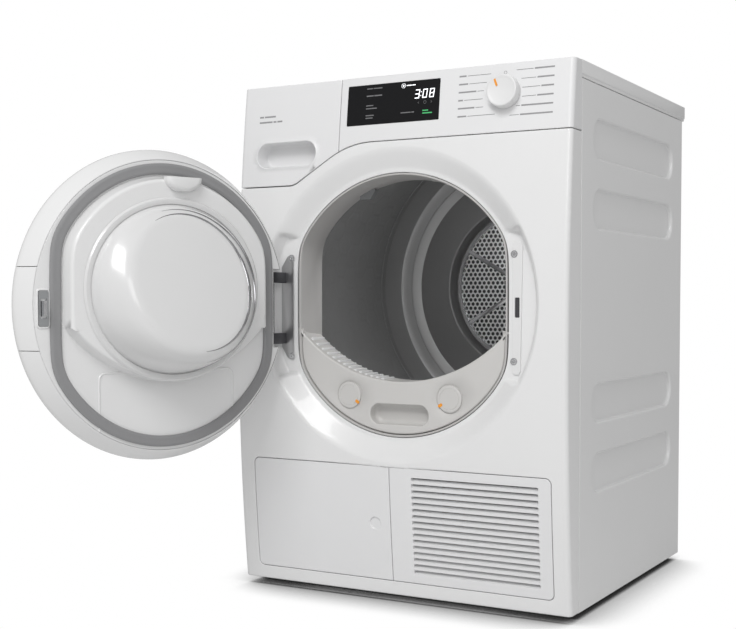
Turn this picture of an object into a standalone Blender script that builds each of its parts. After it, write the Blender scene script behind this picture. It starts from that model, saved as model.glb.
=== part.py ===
"""A front-loading heat-pump clothes dryer, built as the separate pieces it is assembled from.

Metres, +Z up. The origin is on the floor under the middle of the cabinet. +X is to the right of
someone facing the dryer and +Y goes into it. Pieces that turn hang from an empty on their axis.
The door rests wide open: its pieces are modelled closed, and its empty is turned by DOOR_OPEN.
"""

from math import acos, atan2, cos, hypot, pi, radians, sin, sqrt

import bmesh
import bpy
from mathutils import Matrix

# Cabinet
HALF_WIDTH = 0.298
HEIGHT = 0.850
SKIRT_Z = 0.012  # lower edge of the panels, above the floor
SEAM_Y = -0.2325  # where the front's side flange meets the side panels
BACK_Y = 0.300
REAR_Y = 0.319  # lid and rear duct reach this far back
SHEET = 0.0010
FRONT_SHEET = 0.0015
GAP = 0.0003
SEAM = 0.0010  # visible joint between covers

# The front is one tall, shallow arc
FRONT_Y = -0.288
FRONT_MID_Z = 0.42
FRONT_RADIUS = 3.37
WALL = 0.0025  # moulded covers

# Control zone
LID_Z = 0.8235  # lower edge of the lid's band
FASCIA_Z = 0.7410
DRAWER_X = -0.1040
DRAWER_Z = 0.6755
DRAWER_CORNER = ((-0.1040, 0.7290), (-0.1770, 0.6800), (-0.1990, 0.6755))
DISPLAY = (-0.0910, 0.0762, 0.7706, 0.8358)
KNOB_X = 0.1880
KNOB_Z = 0.8035
KNOB_RADIUS = 0.0250
KNOB_HEIGHT = 0.0175

# Loading opening and the dish around it
OPENING_Z = 0.480
OPENING_RADIUS = 0.2130
OPENING_HALF = 0.1925  # the round opening is cut off straight at both sides
DISH_RADIUS = 0.2500
DISH_FLOOR_RADIUS = 0.2380
DISH_Y = -0.2610
DISH_BACK_Y = -0.2585

# Lower front
LOWER_LEFT = -0.2672
LOWER_RIGHT = 0.2717
LOWER_BOTTOM = 0.0345
LOWER_TOP = 0.2225
LOWER_SPLIT = -0.0055
FLAP_HINGE = (-0.2662, -0.2830)
SLATS = 16
SLAT_PITCH = 0.0100
SLAT_GAP = 0.0058

# Door, in its closed place
HINGE_X = -0.2193
HINGE_Y = -0.3031
DOOR_OPEN = radians(-109.5)
DOOR_Z = 0.4808
DOOR_RADIUS = 0.2381
SEAL_OUTER = (0.2154, 0.1957)  # radius and half-width of a cut-off circle
SEAL_INNER = (0.1987, 0.1785)
SEAL_Y = -0.2622
PANEL_Y = -0.2665
RAISED_Y = -0.2455
HINGE_LUGS = ((0.4155, 0.4335), (0.5175, 0.5355))
SCREW_X = 0.2022
SCREW_Z = (0.3950, 0.5590)
BULGE_STEPS = 32
SLOT = (0.2045, 0.2100, 0.4635, 0.4915)

# Drum
DRUM_Z = 0.5145
DRUM_RADIUS = 0.2858
DRUM_FRONT_Y = -0.1970
DRUM_STEPS = 36
GRILLE_Y = 0.2735
GRILLE_RADIUS = 0.1510

# Drive, under the drum
MOTOR_X = 0.2050
MOTOR_Z = 0.1250
BELT_Y = -0.0450
BELT_WIDTH = 0.0080
PULLEY_RADIUS = 0.0120
TRAY_TOP = 0.0183  # what stands on the base tray starts here
TENSIONER = (0.0705, 0.1480)
TENSIONER_PIVOT = (0.1080, 0.0900)
FAN_BLADES = 12

# Lint filter, the crescent that closes the lower part of the opening
FILTER_ARC_RADIUS = 0.2560
FILTER_ARC_Z = 0.6135
FILTER_Y = (-0.2585, -0.2060)
LOCK_X = 0.0915
LOCK_Z = 0.3330
LOCK_RADIUS = 0.0215

WHITE = ((0.86, 0.86, 0.86, 1), 0.32, 0.0)
PALE = ((0.74, 0.74, 0.75, 1), 0.40, 0.0)
WARM_GREY = ((0.62, 0.61, 0.59, 1), 0.45, 0.0)
RUBBER = ((0.30, 0.30, 0.30, 1), 0.75, 0.0)
BLACK = ((0.02, 0.02, 0.022, 1), 0.25, 0.0)
DARK = ((0.09, 0.09, 0.10, 1), 0.50, 0.0)
STEEL = ((0.56, 0.57, 0.58, 1), 0.28, 1.0)
ZINC = ((0.50, 0.51, 0.52, 1), 0.45, 1.0)
ALUMINIUM = ((0.72, 0.73, 0.74, 1), 0.35, 1.0)
COPPER = ((0.60, 0.32, 0.18, 1), 0.35, 1.0)
FELT = ((0.30, 0.29, 0.28, 1), 0.95, 0.0)
FOAM = ((0.16, 0.17, 0.18, 1), 0.95, 0.0)
LENS = ((0.85, 0.88, 0.90, 1), 0.10, 0.0)


def clear_scene():
    for obj in list(bpy.data.objects):
        bpy.data.objects.remove(obj, do_unlink=True)


def material(look):
    colour, roughness, metallic = look
    name = "m_" + "_".join(f"{round(c * 100):02d}" for c in colour[:3])
    found = bpy.data.materials.get(name)
    if found:
        return found
    made = bpy.data.materials.new(name)
    made.use_nodes = True
    shader = made.node_tree.nodes["Principled BSDF"]
    shader.inputs["Base Color"].default_value = colour
    shader.inputs["Roughness"].default_value = roughness
    shader.inputs["Metallic"].default_value = metallic
    return made


# ---------------------------------------------------------------- outlines, as lists of (u, v)


def rectangle(u0, u1, v0, v1):
    return [(u0, v0), (u1, v0), (u1, v1), (u0, v1)]


def rounded(u0, u1, v0, v1, radius, steps=5):
    points = []
    corners = ((u1, v1, 0), (u0, v1, 90), (u0, v0, 180), (u1, v0, 270))
    for u, v, start in corners:
        centre_u = u - radius if u == u1 else u + radius
        centre_v = v - radius if v == v1 else v + radius
        for i in range(steps + 1):
            angle = radians(start + 90 * i / steps)
            points.append((centre_u + radius * cos(angle), centre_v + radius * sin(angle)))
    return points


def circle(u, v, radius, steps=32):
    angles = [2 * pi * i / steps for i in range(steps)]
    return [(u + radius * cos(angle), v + radius * sin(angle)) for angle in angles]


def cut_circle(radius, half_width, v=OPENING_Z, steps=28):
    """A circle cut off by two upright lines, as the loading opening is."""
    corner = acos(half_width / radius)
    points = []
    for start, end in ((corner, pi - corner), (pi + corner, 2 * pi - corner)):
        for i in range(steps + 1):
            angle = start + (end - start) * i / steps
            points.append((radius * cos(angle), v + radius * sin(angle)))
    return points


def split_cut_circle(radius, half_width, arc_radius, arc_v, lower, v=OPENING_Z, steps=20):
    """The part of a cut-off circle below, or above, an arc that hangs from a higher centre."""
    drop = sqrt(arc_radius**2 - half_width**2)
    corner = acos(half_width / radius)
    if arc_v - drop < v - radius * sin(corner):
        raise ValueError("the arc has to meet the straight sides")
    reach = atan2(half_width, drop)
    arc = []
    for i in range(steps + 1):
        angle = -pi / 2 + reach - 2 * reach * i / steps
        arc.append((arc_radius * cos(angle), arc_v + arc_radius * sin(angle)))
    start, end = (pi + corner, 2 * pi - corner) if lower else (corner, pi - corner)
    bow = []
    for i in range(steps + 1):
        angle = start + (end - start) * i / steps
        bow.append((radius * cos(angle), v + radius * sin(angle)))
    return bow + (arc if lower else arc[::-1])


def strip(start, end, half_width):
    """A straight band from start to end."""
    du, dv = end[0] - start[0], end[1] - start[1]
    size = hypot(du, dv) / half_width
    nu, nv = dv / size, -du / size
    return [
        (start[0] - nu, start[1] - nv), (end[0] - nu, end[1] - nv),
        (end[0] + nu, end[1] + nv), (start[0] + nu, start[1] + nv),
    ]


def belt_outline(offset, steps=20):
    """The loop round drum and pulley: two arcs joined by their outer tangents."""
    big, small = DRUM_RADIUS + offset, PULLEY_RADIUS + offset
    du, dv = MOTOR_X, MOTOR_Z - DRUM_Z
    axis = atan2(dv, du)
    lean = acos((big - small) / hypot(du, dv))
    points = []
    for i in range(2 * steps + 1):
        angle = axis + lean + (2 * pi - 2 * lean) * i / (2 * steps)
        points.append((big * cos(angle), DRUM_Z + big * sin(angle)))
    for i in range(9):
        angle = axis - lean + 2 * lean * i / 8
        points.append((MOTOR_X + small * cos(angle), MOTOR_Z + small * sin(angle)))
    return points


# ---------------------------------------------------------------- solids, as mesh objects


def front_y(z):
    return FRONT_Y + (z - FRONT_MID_Z) ** 2 / (2 * FRONT_RADIUS)


def make(name, vertices, faces, look=WHITE):
    mesh = bpy.data.meshes.new(name)
    shape = bmesh.new()
    points = [shape.verts.new(v) for v in vertices]
    for face in faces:
        shape.faces.new([points[i] for i in face])
    bmesh.ops.recalc_face_normals(shape, faces=shape.faces)
    shape.to_mesh(mesh)
    shape.free()
    obj = bpy.data.objects.new(name, mesh)
    obj.data.materials.append(material(look))
    bpy.context.scene.collection.objects.link(obj)
    return obj


def prism(name, outline, low, high, axis="y", look=WHITE):
    """An outline in the two other axes, in x, y, z order, pushed from low to high along axis."""
    place = {
        "x": lambda u, v, w: (w, u, v),
        "y": lambda u, v, w: (u, w, v),
        "z": lambda u, v, w: (u, v, w),
    }[axis]
    count = len(outline)
    vertices = [place(u, v, low) for u, v in outline] + [place(u, v, high) for u, v in outline]
    faces = [tuple(range(count)), tuple(range(2 * count - 1, count - 1, -1))]
    faces += [(i, (i + 1) % count, count + (i + 1) % count, count + i) for i in range(count)]
    return make(name, vertices, faces, look)


def box(name, x, y, z, look=WHITE):
    return prism(name, rectangle(x[0], x[1], z[0], z[1]), y[0], y[1], "y", look)


def turned(name, profile, centre, axis="y", steps=32, look=WHITE):
    """A closed profile of (radius, along) turned about axis; points at radius 0 become one pole."""
    place = {
        "y": lambda r, a, t: (centre[0] + r * cos(t), a, centre[1] + r * sin(t)),
        "z": lambda r, a, t: (centre[0] + r * cos(t), centre[1] + r * sin(t), a),
    }[axis]
    vertices, rings = [], []
    for radius, along in profile:
        if radius == 0:
            rings.append([len(vertices)] * steps)
            vertices.append(place(0, along, 0))
            continue
        rings.append(list(range(len(vertices), len(vertices) + steps)))
        vertices += [place(radius, along, 2 * pi * i / steps) for i in range(steps)]
    faces = []
    for k in range(len(profile)):
        near, far = rings[k], rings[(k + 1) % len(profile)]
        for i in range(steps):
            j = (i + 1) % steps
            face = list(dict.fromkeys((near[i], near[j], far[j], far[i])))
            if len(face) > 2:
                faces.append(tuple(face))
    return make(name, vertices, faces, look)


def front_slab(name, x, z, inset, depth, steps=8, look=WHITE):
    """A plate that follows the front's arc: its face lies inset behind the front, depth thick."""
    heights = [z[0] + (z[1] - z[0]) * i / steps for i in range(steps + 1)]
    face = [(front_y(h) + inset, h) for h in heights]
    back = [(front_y(h) + inset + depth, h) for h in reversed(heights)]
    return prism(name, face + back, x[0], x[1], "x", look)


def front_block(name, x, z, inset, back_y, steps=8, look=WHITE):
    """A block from the front's arc to a flat back."""
    heights = [z[0] + (z[1] - z[0]) * i / steps for i in range(steps + 1)]
    outline = [(front_y(h) + inset, h) for h in heights] + [(back_y, z[1]), (back_y, z[0])]
    return prism(name, outline, x[0], x[1], "x", look)


def apply_boolean(obj, tool, operation):
    """Bakes the Boolean at once, so later cuts work on the result, and drops the tool."""
    modifier = obj.modifiers.new("cut", "BOOLEAN")
    modifier.operation = operation
    modifier.object = tool
    bpy.context.view_layer.update()
    graph = bpy.context.evaluated_depsgraph_get()
    mesh = bpy.data.meshes.new_from_object(obj.evaluated_get(graph))
    obj.modifiers.clear()
    obj.data = mesh
    bpy.data.objects.remove(tool, do_unlink=True)
    return obj


def cut(obj, *tools):
    for tool in tools:
        apply_boolean(obj, tool, "DIFFERENCE")
    return obj


def join(obj, *tools):
    for tool in tools:
        apply_boolean(obj, tool, "UNION")
    return obj


def keep(obj, tool):
    return apply_boolean(obj, tool, "INTERSECT")


def hang(name, place, *pieces):
    """Parents the pieces to an empty on their joint's axis, and leaves them where they are."""
    pivot = bpy.data.objects.new(name, None)
    pivot.location = place
    bpy.context.scene.collection.objects.link(pivot)
    for piece in pieces:
        piece.parent = pivot
        piece.matrix_parent_inverse = Matrix.Translation(place).inverted()
    return pivot


def smooth(*objects):
    for obj in objects:
        obj.data.shade_smooth()
        obj.data.set_sharp_from_angle(angle=radians(35))


# ---------------------------------------------------------------- cabinet


def side_panel(name, sign):
    outer, inner = HALF_WIDTH, HALF_WIDTH - SHEET
    depth = 0.007
    y, z = (SEAM_Y + GAP, BACK_Y), (SKIRT_Z, LID_Z - GAP)
    panel = box(name, (inner, outer), y, z)
    for flange in ((y[0], y[0] + SHEET), (y[1] - SHEET, y[1])):
        join(panel, box("flange", (outer - 0.015, outer - SHEET / 2), flange, z))
    for middle in (0.7385, 0.6300, 0.3275, 0.2180):
        well = rounded(-0.179, 0.241, middle - 0.0305, middle + 0.0305, 0.0300, 4)
        hollow = rounded(-0.1775, 0.2395, middle - 0.0290, middle + 0.0290, 0.0285, 4)
        join(panel, prism("well", well, inner - depth, outer - SHEET / 2, "x"))
        cut(panel, prism("hollow", hollow, inner - depth + SHEET, outer + 0.01, "x"))
    if sign < 0:
        panel.data.transform(Matrix.Scale(-1, 4, (1, 0, 0)))
        panel.data.flip_normals()
    smooth(panel)
    return panel


def lid():
    cap = box("lid", (-HALF_WIDTH, HALF_WIDTH), (SEAM_Y + GAP, REAR_Y), (LID_Z, HEIGHT))
    wall = 0.0012
    inner_x, inner_y = (-HALF_WIDTH + wall, HALF_WIDTH - wall), (SEAM_Y + wall + GAP, REAR_Y - wall)
    inside = box("in", inner_x, inner_y, (LID_Z - 0.01, HEIGHT - wall))
    return cut(cap, inside)


def back_panel():
    sheet = box("back_panel", (-0.2820, 0.2820), (BACK_Y - SHEET, BACK_Y), (SKIRT_Z, LID_Z - GAP), ZINC)
    vents = []
    for z in (0.080, 0.102, 0.124):
        for middle in (-0.19, 0.19):
            slot = rounded(middle - 0.05, middle + 0.05, z, z + 0.008, 0.0039, 3)
            vents.append(prism("vent", slot, 0.28, 0.32))
    cut(sheet, *vents)
    return cut(sheet, prism("duct", circle(0, DRUM_Z, 0.205, 28), 0.28, 0.32))


def rear_duct_cover():
    profile = [
        (0.0, 0.3185), (0.150, 0.3185), (0.1950, 0.3150), (0.2100, 0.3018), (0.2350, 0.3016),
        (0.2350, 0.3003), (0.2085, 0.3003), (0.1940, 0.3138), (0.150, 0.3172), (0.0, 0.3172),
    ]
    cover = turned("rear_duct_cover", profile, (0, DRUM_Z), "y", 28, ZINC)
    smooth(cover)
    return cover


def base_tray():
    tray = box("base_tray", (-0.2900, 0.2900), (-0.2260, 0.2950), (SKIRT_Z, 0.0750), DARK)
    join(tray, box("pan", (-0.2000, 0.2000), (-0.1600, 0.2000), (0.0050, 0.0150)))
    return cut(tray, box("in", (-0.2860, 0.2860), (-0.2220, 0.2910), (0.0180, 0.08)))


def feet():
    profile = [(0.0, 0.0), (0.0190, 0.0), (0.0190, 0.0060), (0.0120, 0.0080), (0.0120, 0.0117), (0.0, 0.0117)]
    for row, y in (("front", -0.2000), ("rear", 0.2600)):
        for side, x in (("left", -0.2550), ("right", 0.2550)):
            smooth(turned(f"foot_{row}_{side}", profile, (x, y), "z", 14, RUBBER))


def front_outline():
    """The front panel's edge: level under the fascia, then down a slope and along under the drawer."""
    slope = [(x, z - SEAM) for x, z in DRAWER_CORNER]
    return [
        (-HALF_WIDTH - 0.01, 0.0), (HALF_WIDTH + 0.01, 0.0), (HALF_WIDTH + 0.01, FASCIA_Z - SEAM),
        (-0.0365, FASCIA_Z - SEAM), (-0.0700, 0.7360), *slope, (-HALF_WIDTH - 0.01, DRAWER_Z - SEAM),
    ]


def front_panel():
    z = (SKIRT_Z, FASCIA_Z - SEAM)
    panel = front_block("front_panel", (-HALF_WIDTH, HALF_WIDTH), z, 0, SEAM_Y, 12)
    inner = (-HALF_WIDTH + FRONT_SHEET, HALF_WIDTH - FRONT_SHEET)
    cavity = front_block("cavity", inner, (z[0] - 0.01, z[1] + 0.01), FRONT_SHEET, SEAM_Y + 0.01, 12)
    boss = prism("boss", circle(0, OPENING_Z, DISH_RADIUS + 0.002, 56), -0.33, DISH_BACK_Y)
    cut(cavity, boss)
    slope = (DISH_RADIUS - DISH_FLOOR_RADIUS) / (DISH_Y - FRONT_Y)
    mouth = DISH_RADIUS + slope * 0.02
    profile = [(0, -0.308), (mouth, -0.308), (DISH_FLOOR_RADIUS, DISH_Y), (0, DISH_Y)]
    dish = turned("dish", profile, (0, OPENING_Z), "y", 56)
    cut(panel, cavity, dish)
    cut(panel, prism("opening", cut_circle(OPENING_RADIUS, OPENING_HALF), -0.30, -0.25))
    cut(panel, prism("slot", rectangle(*SLOT), -0.27, -0.25))
    lower = rounded(LOWER_LEFT, LOWER_RIGHT, LOWER_BOTTOM, LOWER_TOP, 0.010, 4)
    cut(panel, prism("lower", lower, -0.32, -0.24))
    keep(panel, prism("outline", front_outline(), -0.33, -0.20))
    smooth(panel)
    return panel


def service_flap():
    x, z = (LOWER_LEFT, LOWER_SPLIT - SEAM / 2), (LOWER_BOTTOM, LOWER_TOP)
    flap = front_slab("service_flap", x, z, 0, WALL, 5)
    outline = rounded(LOWER_LEFT + SEAM, LOWER_RIGHT, LOWER_BOTTOM + SEAM, LOWER_TOP - SEAM, 0.009, 4)
    keep(flap, prism("edge", outline, -0.32, -0.20))
    return join(flap, box("catch", (-0.0400, -0.0280), (-0.2740, -0.2600), (0.1220, 0.1340)))


def grille_panel():
    x, z = (LOWER_SPLIT + SEAM / 2, LOWER_RIGHT), (LOWER_BOTTOM, LOWER_TOP)
    panel = front_slab("grille_panel", x, z, 0, WALL, 5)
    outline = rounded(LOWER_LEFT, LOWER_RIGHT - SEAM, LOWER_BOTTOM + SEAM, LOWER_TOP - SEAM, 0.009, 4)
    keep(panel, prism("edge", outline, -0.32, -0.20))
    for i in range(SLATS):
        low = 0.0510 + SLAT_PITCH * i
        cut(panel, prism("gap", rectangle(0.0340, 0.2500, low, low + SLAT_GAP), -0.32, -0.20))
    return panel


# ---------------------------------------------------------------- control zone


def control_fascia():
    x, z = (DRAWER_X + SEAM / 2, HALF_WIDTH), (FASCIA_Z, HEIGHT - 0.0015)
    fascia = front_block("control_fascia", x, z, 0, SEAM_Y, 4)
    inner = (x[0] + WALL, x[1] - WALL)
    cut(fascia, front_block("cavity", inner, (z[0] + WALL, z[1] - WALL), WALL, SEAM_Y + 0.01, 4))
    cut(fascia, prism("window", rectangle(*DISPLAY), -0.30, -0.245))
    return cut(fascia, prism("shaft", circle(KNOB_X, KNOB_Z, 0.0060, 16), -0.30, -0.245))


def display_window():
    x0, x1, z0, z1 = DISPLAY
    x, z = (x0 + GAP, x1 - GAP), (z0 + GAP, z1 - GAP)
    return front_slab("display_window", x, z, 0.0004, 0.0020, 4, BLACK)


def control_board():
    """The electronics module, with the selector's encoder standing on it behind the knob."""
    board = box("control_board", (-0.0950, 0.2300), (-0.2555, -0.2450), (0.7660, 0.8400), DARK)
    encoder = box("encoder", (KNOB_X - 0.009, KNOB_X + 0.009), (-0.2610, -0.2550), (0.7940, 0.8130))
    return join(board, encoder)


def selector_knob():
    """Knob and shaft, square to the leaning fascia: made at the origin, then tipped and placed."""
    tip, foot = -KNOB_HEIGHT, -0.0008
    profile = [
        (0.0, tip + 0.0010), (0.0215, tip + 0.0010), (0.0225, tip), (0.0240, tip + 0.0010),
        (KNOB_RADIUS, foot - 0.002), (KNOB_RADIUS, foot), (0.0, foot),
    ]
    knob = turned("selector_knob", profile, (0, 0), "y", 32)
    join(knob, prism("shaft", circle(0, 0, 0.0030, 12), foot - 0.002, 0.0045))
    smooth(knob)
    knob.rotation_euler = (-atan2(KNOB_Z - FRONT_MID_Z, FRONT_RADIUS), 0, 0)
    knob.location = (KNOB_X, front_y(KNOB_Z), KNOB_Z)
    return knob


def drawer_front():
    z = (DRAWER_Z, HEIGHT - 0.0015)
    x = (-HALF_WIDTH, DRAWER_X - SEAM / 2)
    front = front_block("drawer_front", x, z, 0, SEAM_Y - GAP, 6)
    inner_x, inner_z = (x[0] + WALL, x[1] - WALL), (z[0] + WALL, z[1] - WALL)
    cavity = front_block("cavity", inner_x, inner_z, WALL, SEAM_Y + 0.01, 6)
    grip = rounded(-0.2640, -0.1480, 0.7110, 0.7520, 0.0200, 6)
    grip_wall = rounded(-0.2665, -0.1455, 0.7085, 0.7545, 0.0225, 6)
    cut(cavity, prism("grip_wall", grip_wall, -0.33, -0.2440))
    cut(front, cavity, prism("grip", grip, -0.33, -0.2465))
    left, below, above = -HALF_WIDTH - 0.01, DRAWER_Z - 0.01, HEIGHT + 0.02
    outline = [(left, below), (-0.1990, below), *DRAWER_CORNER[::-1], (DRAWER_X, above), (left, above)]
    keep(front, prism("outline", outline, -0.33, -0.20))
    smooth(front)
    return front


def condensate_container():
    """A tank shaped to the corner between the drum and the lid, open where it is filled and poured."""
    outer = [
        (-0.2815, 0.6950), (-0.2480, 0.6950), (-0.2010, 0.7400),
        (-0.1120, 0.7980), (-0.1120, 0.8180), (-0.2815, 0.8180),
    ]
    inner = [
        (-0.2785, 0.6980), (-0.2492, 0.6980), (-0.2028, 0.7425),
        (-0.1150, 0.8000), (-0.1150, 0.83), (-0.2785, 0.83),
    ]
    tank = prism("condensate_container", outer, SEAM_Y + 0.0005, 0.1700, "y", PALE)
    return cut(tank, prism("in", inner, SEAM_Y + 0.0035, 0.1670))


# ---------------------------------------------------------------- loading opening


def bulkhead_plate(name, y, look):
    plate = prism(name, circle(0, DRUM_Z, 0.2905, 40), y[0], y[1], "y", look)
    join(plate, box("legs", (-0.2780, 0.2780), y, (0.0780, 0.4200)))
    return plate


def front_bulkhead():
    """The plate that carries the drum's front seal, with the collar that lines the opening."""
    plate = bulkhead_plate("front_bulkhead", (-0.2245, -0.2225), PALE)
    join(plate, prism("collar", cut_circle(0.2115, 0.1895), -0.2600, -0.2030))
    cut(plate, prism("bore", cut_circle(0.2090, 0.1870), -0.27, -0.19))
    cut(plate, box("bay", (-0.2400, 0.2550), (-0.23, -0.21), (0.07, 0.2200)))
    smooth(plate)
    return plate


def drum_lamp():
    """A small wedge lens under the top of the collar."""
    outline = [
        (-0.0960, 0.6560), (-0.0760, 0.6560), (-0.0660, 0.6720), (-0.0740, 0.6750), (-0.0950, 0.6655),
    ]
    return prism("drum_lamp_lens", outline, -0.2180, -0.2060, "y", LENS)


def filter_front():
    """The crescent with its finger grip; hollow behind, where the mesh cassette sits."""
    outline = split_cut_circle(0.2075, 0.1855, FILTER_ARC_RADIUS, FILTER_ARC_Z, True)
    inner = split_cut_circle(0.2045, 0.1825, FILTER_ARC_RADIUS + 0.003, FILTER_ARC_Z, True)
    front = prism("filter_front", outline, FILTER_Y[0], FILTER_Y[1], "y", WARM_GREY)
    cavity = prism("cavity", inner, FILTER_Y[0] + 0.003, FILTER_Y[1] + 0.01)
    grip_wall = prism("grip_wall", rounded(-0.0560, 0.0560, 0.2845, 0.3235, 0.0190, 6), -0.27, -0.2355)
    cut(cavity, grip_wall)
    cut(front, cavity, prism("grip", rounded(-0.0530, 0.0530, 0.2875, 0.3205, 0.0160, 6), -0.27, -0.2385))
    return front


def filter_cassette():
    outline = split_cut_circle(0.2035, 0.1815, FILTER_ARC_RADIUS + 0.004, FILTER_ARC_Z, True)
    inner = split_cut_circle(0.1985, 0.1765, FILTER_ARC_RADIUS + 0.009, FILTER_ARC_Z, True)
    cassette = prism("filter_cassette", outline, -0.2330, -0.2090, "y", PALE)
    return cut(cassette, prism("in", inner, -0.2310, -0.20))


def filter_lock(name, x):
    y = FILTER_Y[0] - GAP
    profile = [
        (0.0, y - 0.0030), (LOCK_RADIUS - 0.001, y - 0.0030), (LOCK_RADIUS, y - 0.0020),
        (LOCK_RADIUS, y), (0.0, y),
    ]
    lock = turned(name, profile, (x, LOCK_Z), "y", 28, WARM_GREY)
    smooth(lock)
    return lock


# ---------------------------------------------------------------- hinge, strike and screws


def hinge_bracket():
    """Plate, two lugs and the pin that is riveted into them."""
    middle = (SCREW_Z[0] + SCREW_Z[1]) / 2
    edge = [
        (-0.2225, 0.0600), (-0.2225, 0.0670), (-0.2110, 0.0850),
        (-0.2050, 0.0880), (-0.2000, 0.0880), (-0.1985, 0.0860),
    ]
    outline = [(x, middle + z) for x, z in edge] + [(x, middle - z) for x, z in reversed(edge)]
    plate = prism("hinge_bracket", outline, -0.2633, DISH_Y - GAP, "y", STEEL)
    reach = 0.0062
    turns = [pi * (1 + i / 6) for i in range(7)]
    nose = [(HINGE_X + reach * cos(turn), HINGE_Y + reach * sin(turn)) for turn in turns]
    root = [(HINGE_X + reach, -0.2625), (HINGE_X - 0.0020, -0.2625), (HINGE_X - reach, -0.2700)]
    for low, high in HINGE_LUGS:
        join(plate, prism("lug", root + nose, low, high, "z"))
    return join(plate, prism("pin", circle(HINGE_X, HINGE_Y, 0.0030, 12), 0.4130, 0.5380, "z"))


def strike_plate():
    plate = prism("strike_plate", rounded(0.1988, 0.2165, 0.3745, 0.5785, 0.0060, 3), -0.2630, DISH_Y - GAP)
    keep(plate, prism("round", circle(0, OPENING_Z, DISH_FLOOR_RADIUS - 0.0025, 56), -0.28, -0.25))
    return cut(plate, prism("slot", rectangle(*SLOT), -0.27, -0.25))


def door_lock():
    lock = box("door_lock", (0.1940, 0.2350), (DISH_BACK_Y + 0.001, -0.2270), (0.4350, 0.5200), DARK)
    return cut(lock, box("mouth", (0.2030, 0.2120), (-0.27, -0.2400), (0.4620, 0.4930)))


def screws():
    for side, x, seat in (("hinge", -SCREW_X, -0.2633), ("strike", SCREW_X, -0.2630)):
        for place, z in zip(("lower", "upper"), SCREW_Z):
            y = seat - GAP
            profile = [
                (0.0, y - 0.0014), (0.0012, y - 0.0022), (0.0026, y - 0.0018),
                (0.0036, y - 0.0004), (0.0036, y), (0.0, y),
            ]
            smooth(turned(f"{side}_screw_{place}", profile, (x, z), "y", 12, STEEL))


# ---------------------------------------------------------------- drum


def drum_shell():
    inner = DRUM_RADIUS - 0.0008
    y0, y1 = DRUM_FRONT_Y, 0.2000
    profile = [
        (0.2620, y0 + 0.004), (0.2640, y0), (0.2820, y0), (DRUM_RADIUS, y0 + 0.006), (DRUM_RADIUS, y1),
        (inner, y1), (inner, y0 + 0.0065), (0.2815, y0 + 0.0008), (0.2645, y0 + 0.0008), (0.2628, y0 + 0.004),
    ]
    shell = turned("drum_shell", profile, (0, DRUM_Z), "y", DRUM_STEPS, STEEL)
    smooth(shell)
    return shell


def drum_rear_wall():
    """Dished rear wall: rolled edge, raised band, flat, and the seat for the air grille."""
    face = [
        (0.2839, 0.1900), (0.2839, 0.2060), (0.2780, 0.2220), (0.2620, 0.2330), (0.2400, 0.2360),
        (0.2300, 0.2500), (0.2240, 0.2520), (0.1600, 0.2520), (0.1560, 0.2700), (0.1530, 0.2752),
        (0.1430, 0.2752),
    ]
    back = [
        (0.1430, 0.2764), (0.1545, 0.2764), (0.1578, 0.2705), (0.1610, 0.2532), (0.2245, 0.2532),
        (0.2309, 0.2510), (0.2408, 0.2372), (0.2626, 0.2342), (0.2790, 0.2228), (0.2855, 0.2064),
        (0.2855, 0.2004), (0.2847, 0.2003), (0.2847, 0.1900),
    ]
    wall = turned("drum_rear_wall", face + back, (0, DRUM_Z), "y", DRUM_STEPS, STEEL)
    smooth(wall)
    return wall


def drum_air_grille():
    back = GRILLE_Y + 0.0012
    profile = [
        (0.0, 0.2640), (0.0340, 0.2660), (0.0400, GRILLE_Y),
        (GRILLE_RADIUS, GRILLE_Y), (GRILLE_RADIUS, back), (0.0, back),
    ]
    grille = turned("drum_air_grille", profile, (0, DRUM_Z), "y", DRUM_STEPS, STEEL)
    for radius, count in ((0.068, 10), (0.110, 16)):
        for i in range(count):
            angle = 2 * pi * (i + 0.5) / count
            centre = (radius * cos(angle), DRUM_Z + radius * sin(angle))
            cut(grille, prism("hole", circle(*centre, 0.0135, 6), 0.27, 0.28))
    join(grille, prism("shaft", circle(0, DRUM_Z, 0.0110, 16), GRILLE_Y, 0.2970))
    return grille


def drum_lifters():
    """Three ribs that carry the laundry round, at equal thirds of the drum."""
    base = 0.2816
    side = [(0.0, 0.030), (0.012, 0.024), (0.034, 0.010), (0.038, 0.0)]
    outline = [(base - u, -v) for u, v in side] + [(base - u, v) for u, v in side[-2::-1]]
    lifters = []
    for index in range(3):
        turn = 2 * pi * index / 3
        c, s = cos(turn), sin(turn)
        points = [(u * c - v * s, DRUM_Z + u * s + v * c) for u, v in outline]
        lifters.append(prism(f"drum_lifter_{index + 1}", points, -0.1750, 0.1800, "y", PALE))
    smooth(*lifters)
    return lifters


def drum_front_seal():
    profile = [(0.2655, -0.2220), (0.2790, -0.2220), (0.2790, -0.1975), (0.2655, -0.1975)]
    seal = turned("drum_front_seal", profile, (0, DRUM_Z), "y", DRUM_STEPS, FELT)
    smooth(seal)
    return seal


def rear_bulkhead():
    plate = bulkhead_plate("rear_bulkhead", (0.2842, 0.2854), ZINC)
    for i in range(4):
        angle = pi / 4 + pi / 2 * i
        u, v = 0.088 * cos(angle), DRUM_Z + 0.088 * sin(angle)
        cut(plate, prism("air", circle(u, v, 0.044, 20), 0.27, 0.30))
    return cut(plate, prism("shaft", circle(0, DRUM_Z, 0.0200, 20), 0.27, 0.30))


def drum_bearing():
    profile = [
        (0.0114, 0.2800), (0.0195, 0.2800), (0.0195, 0.2858),
        (0.0300, 0.2858), (0.0300, 0.2930), (0.0114, 0.2930),
    ]
    bearing = turned("drum_bearing", profile, (0, DRUM_Z), "y", 24, STEEL)
    smooth(bearing)
    return bearing


# ---------------------------------------------------------------- drive and heat pump


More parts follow.
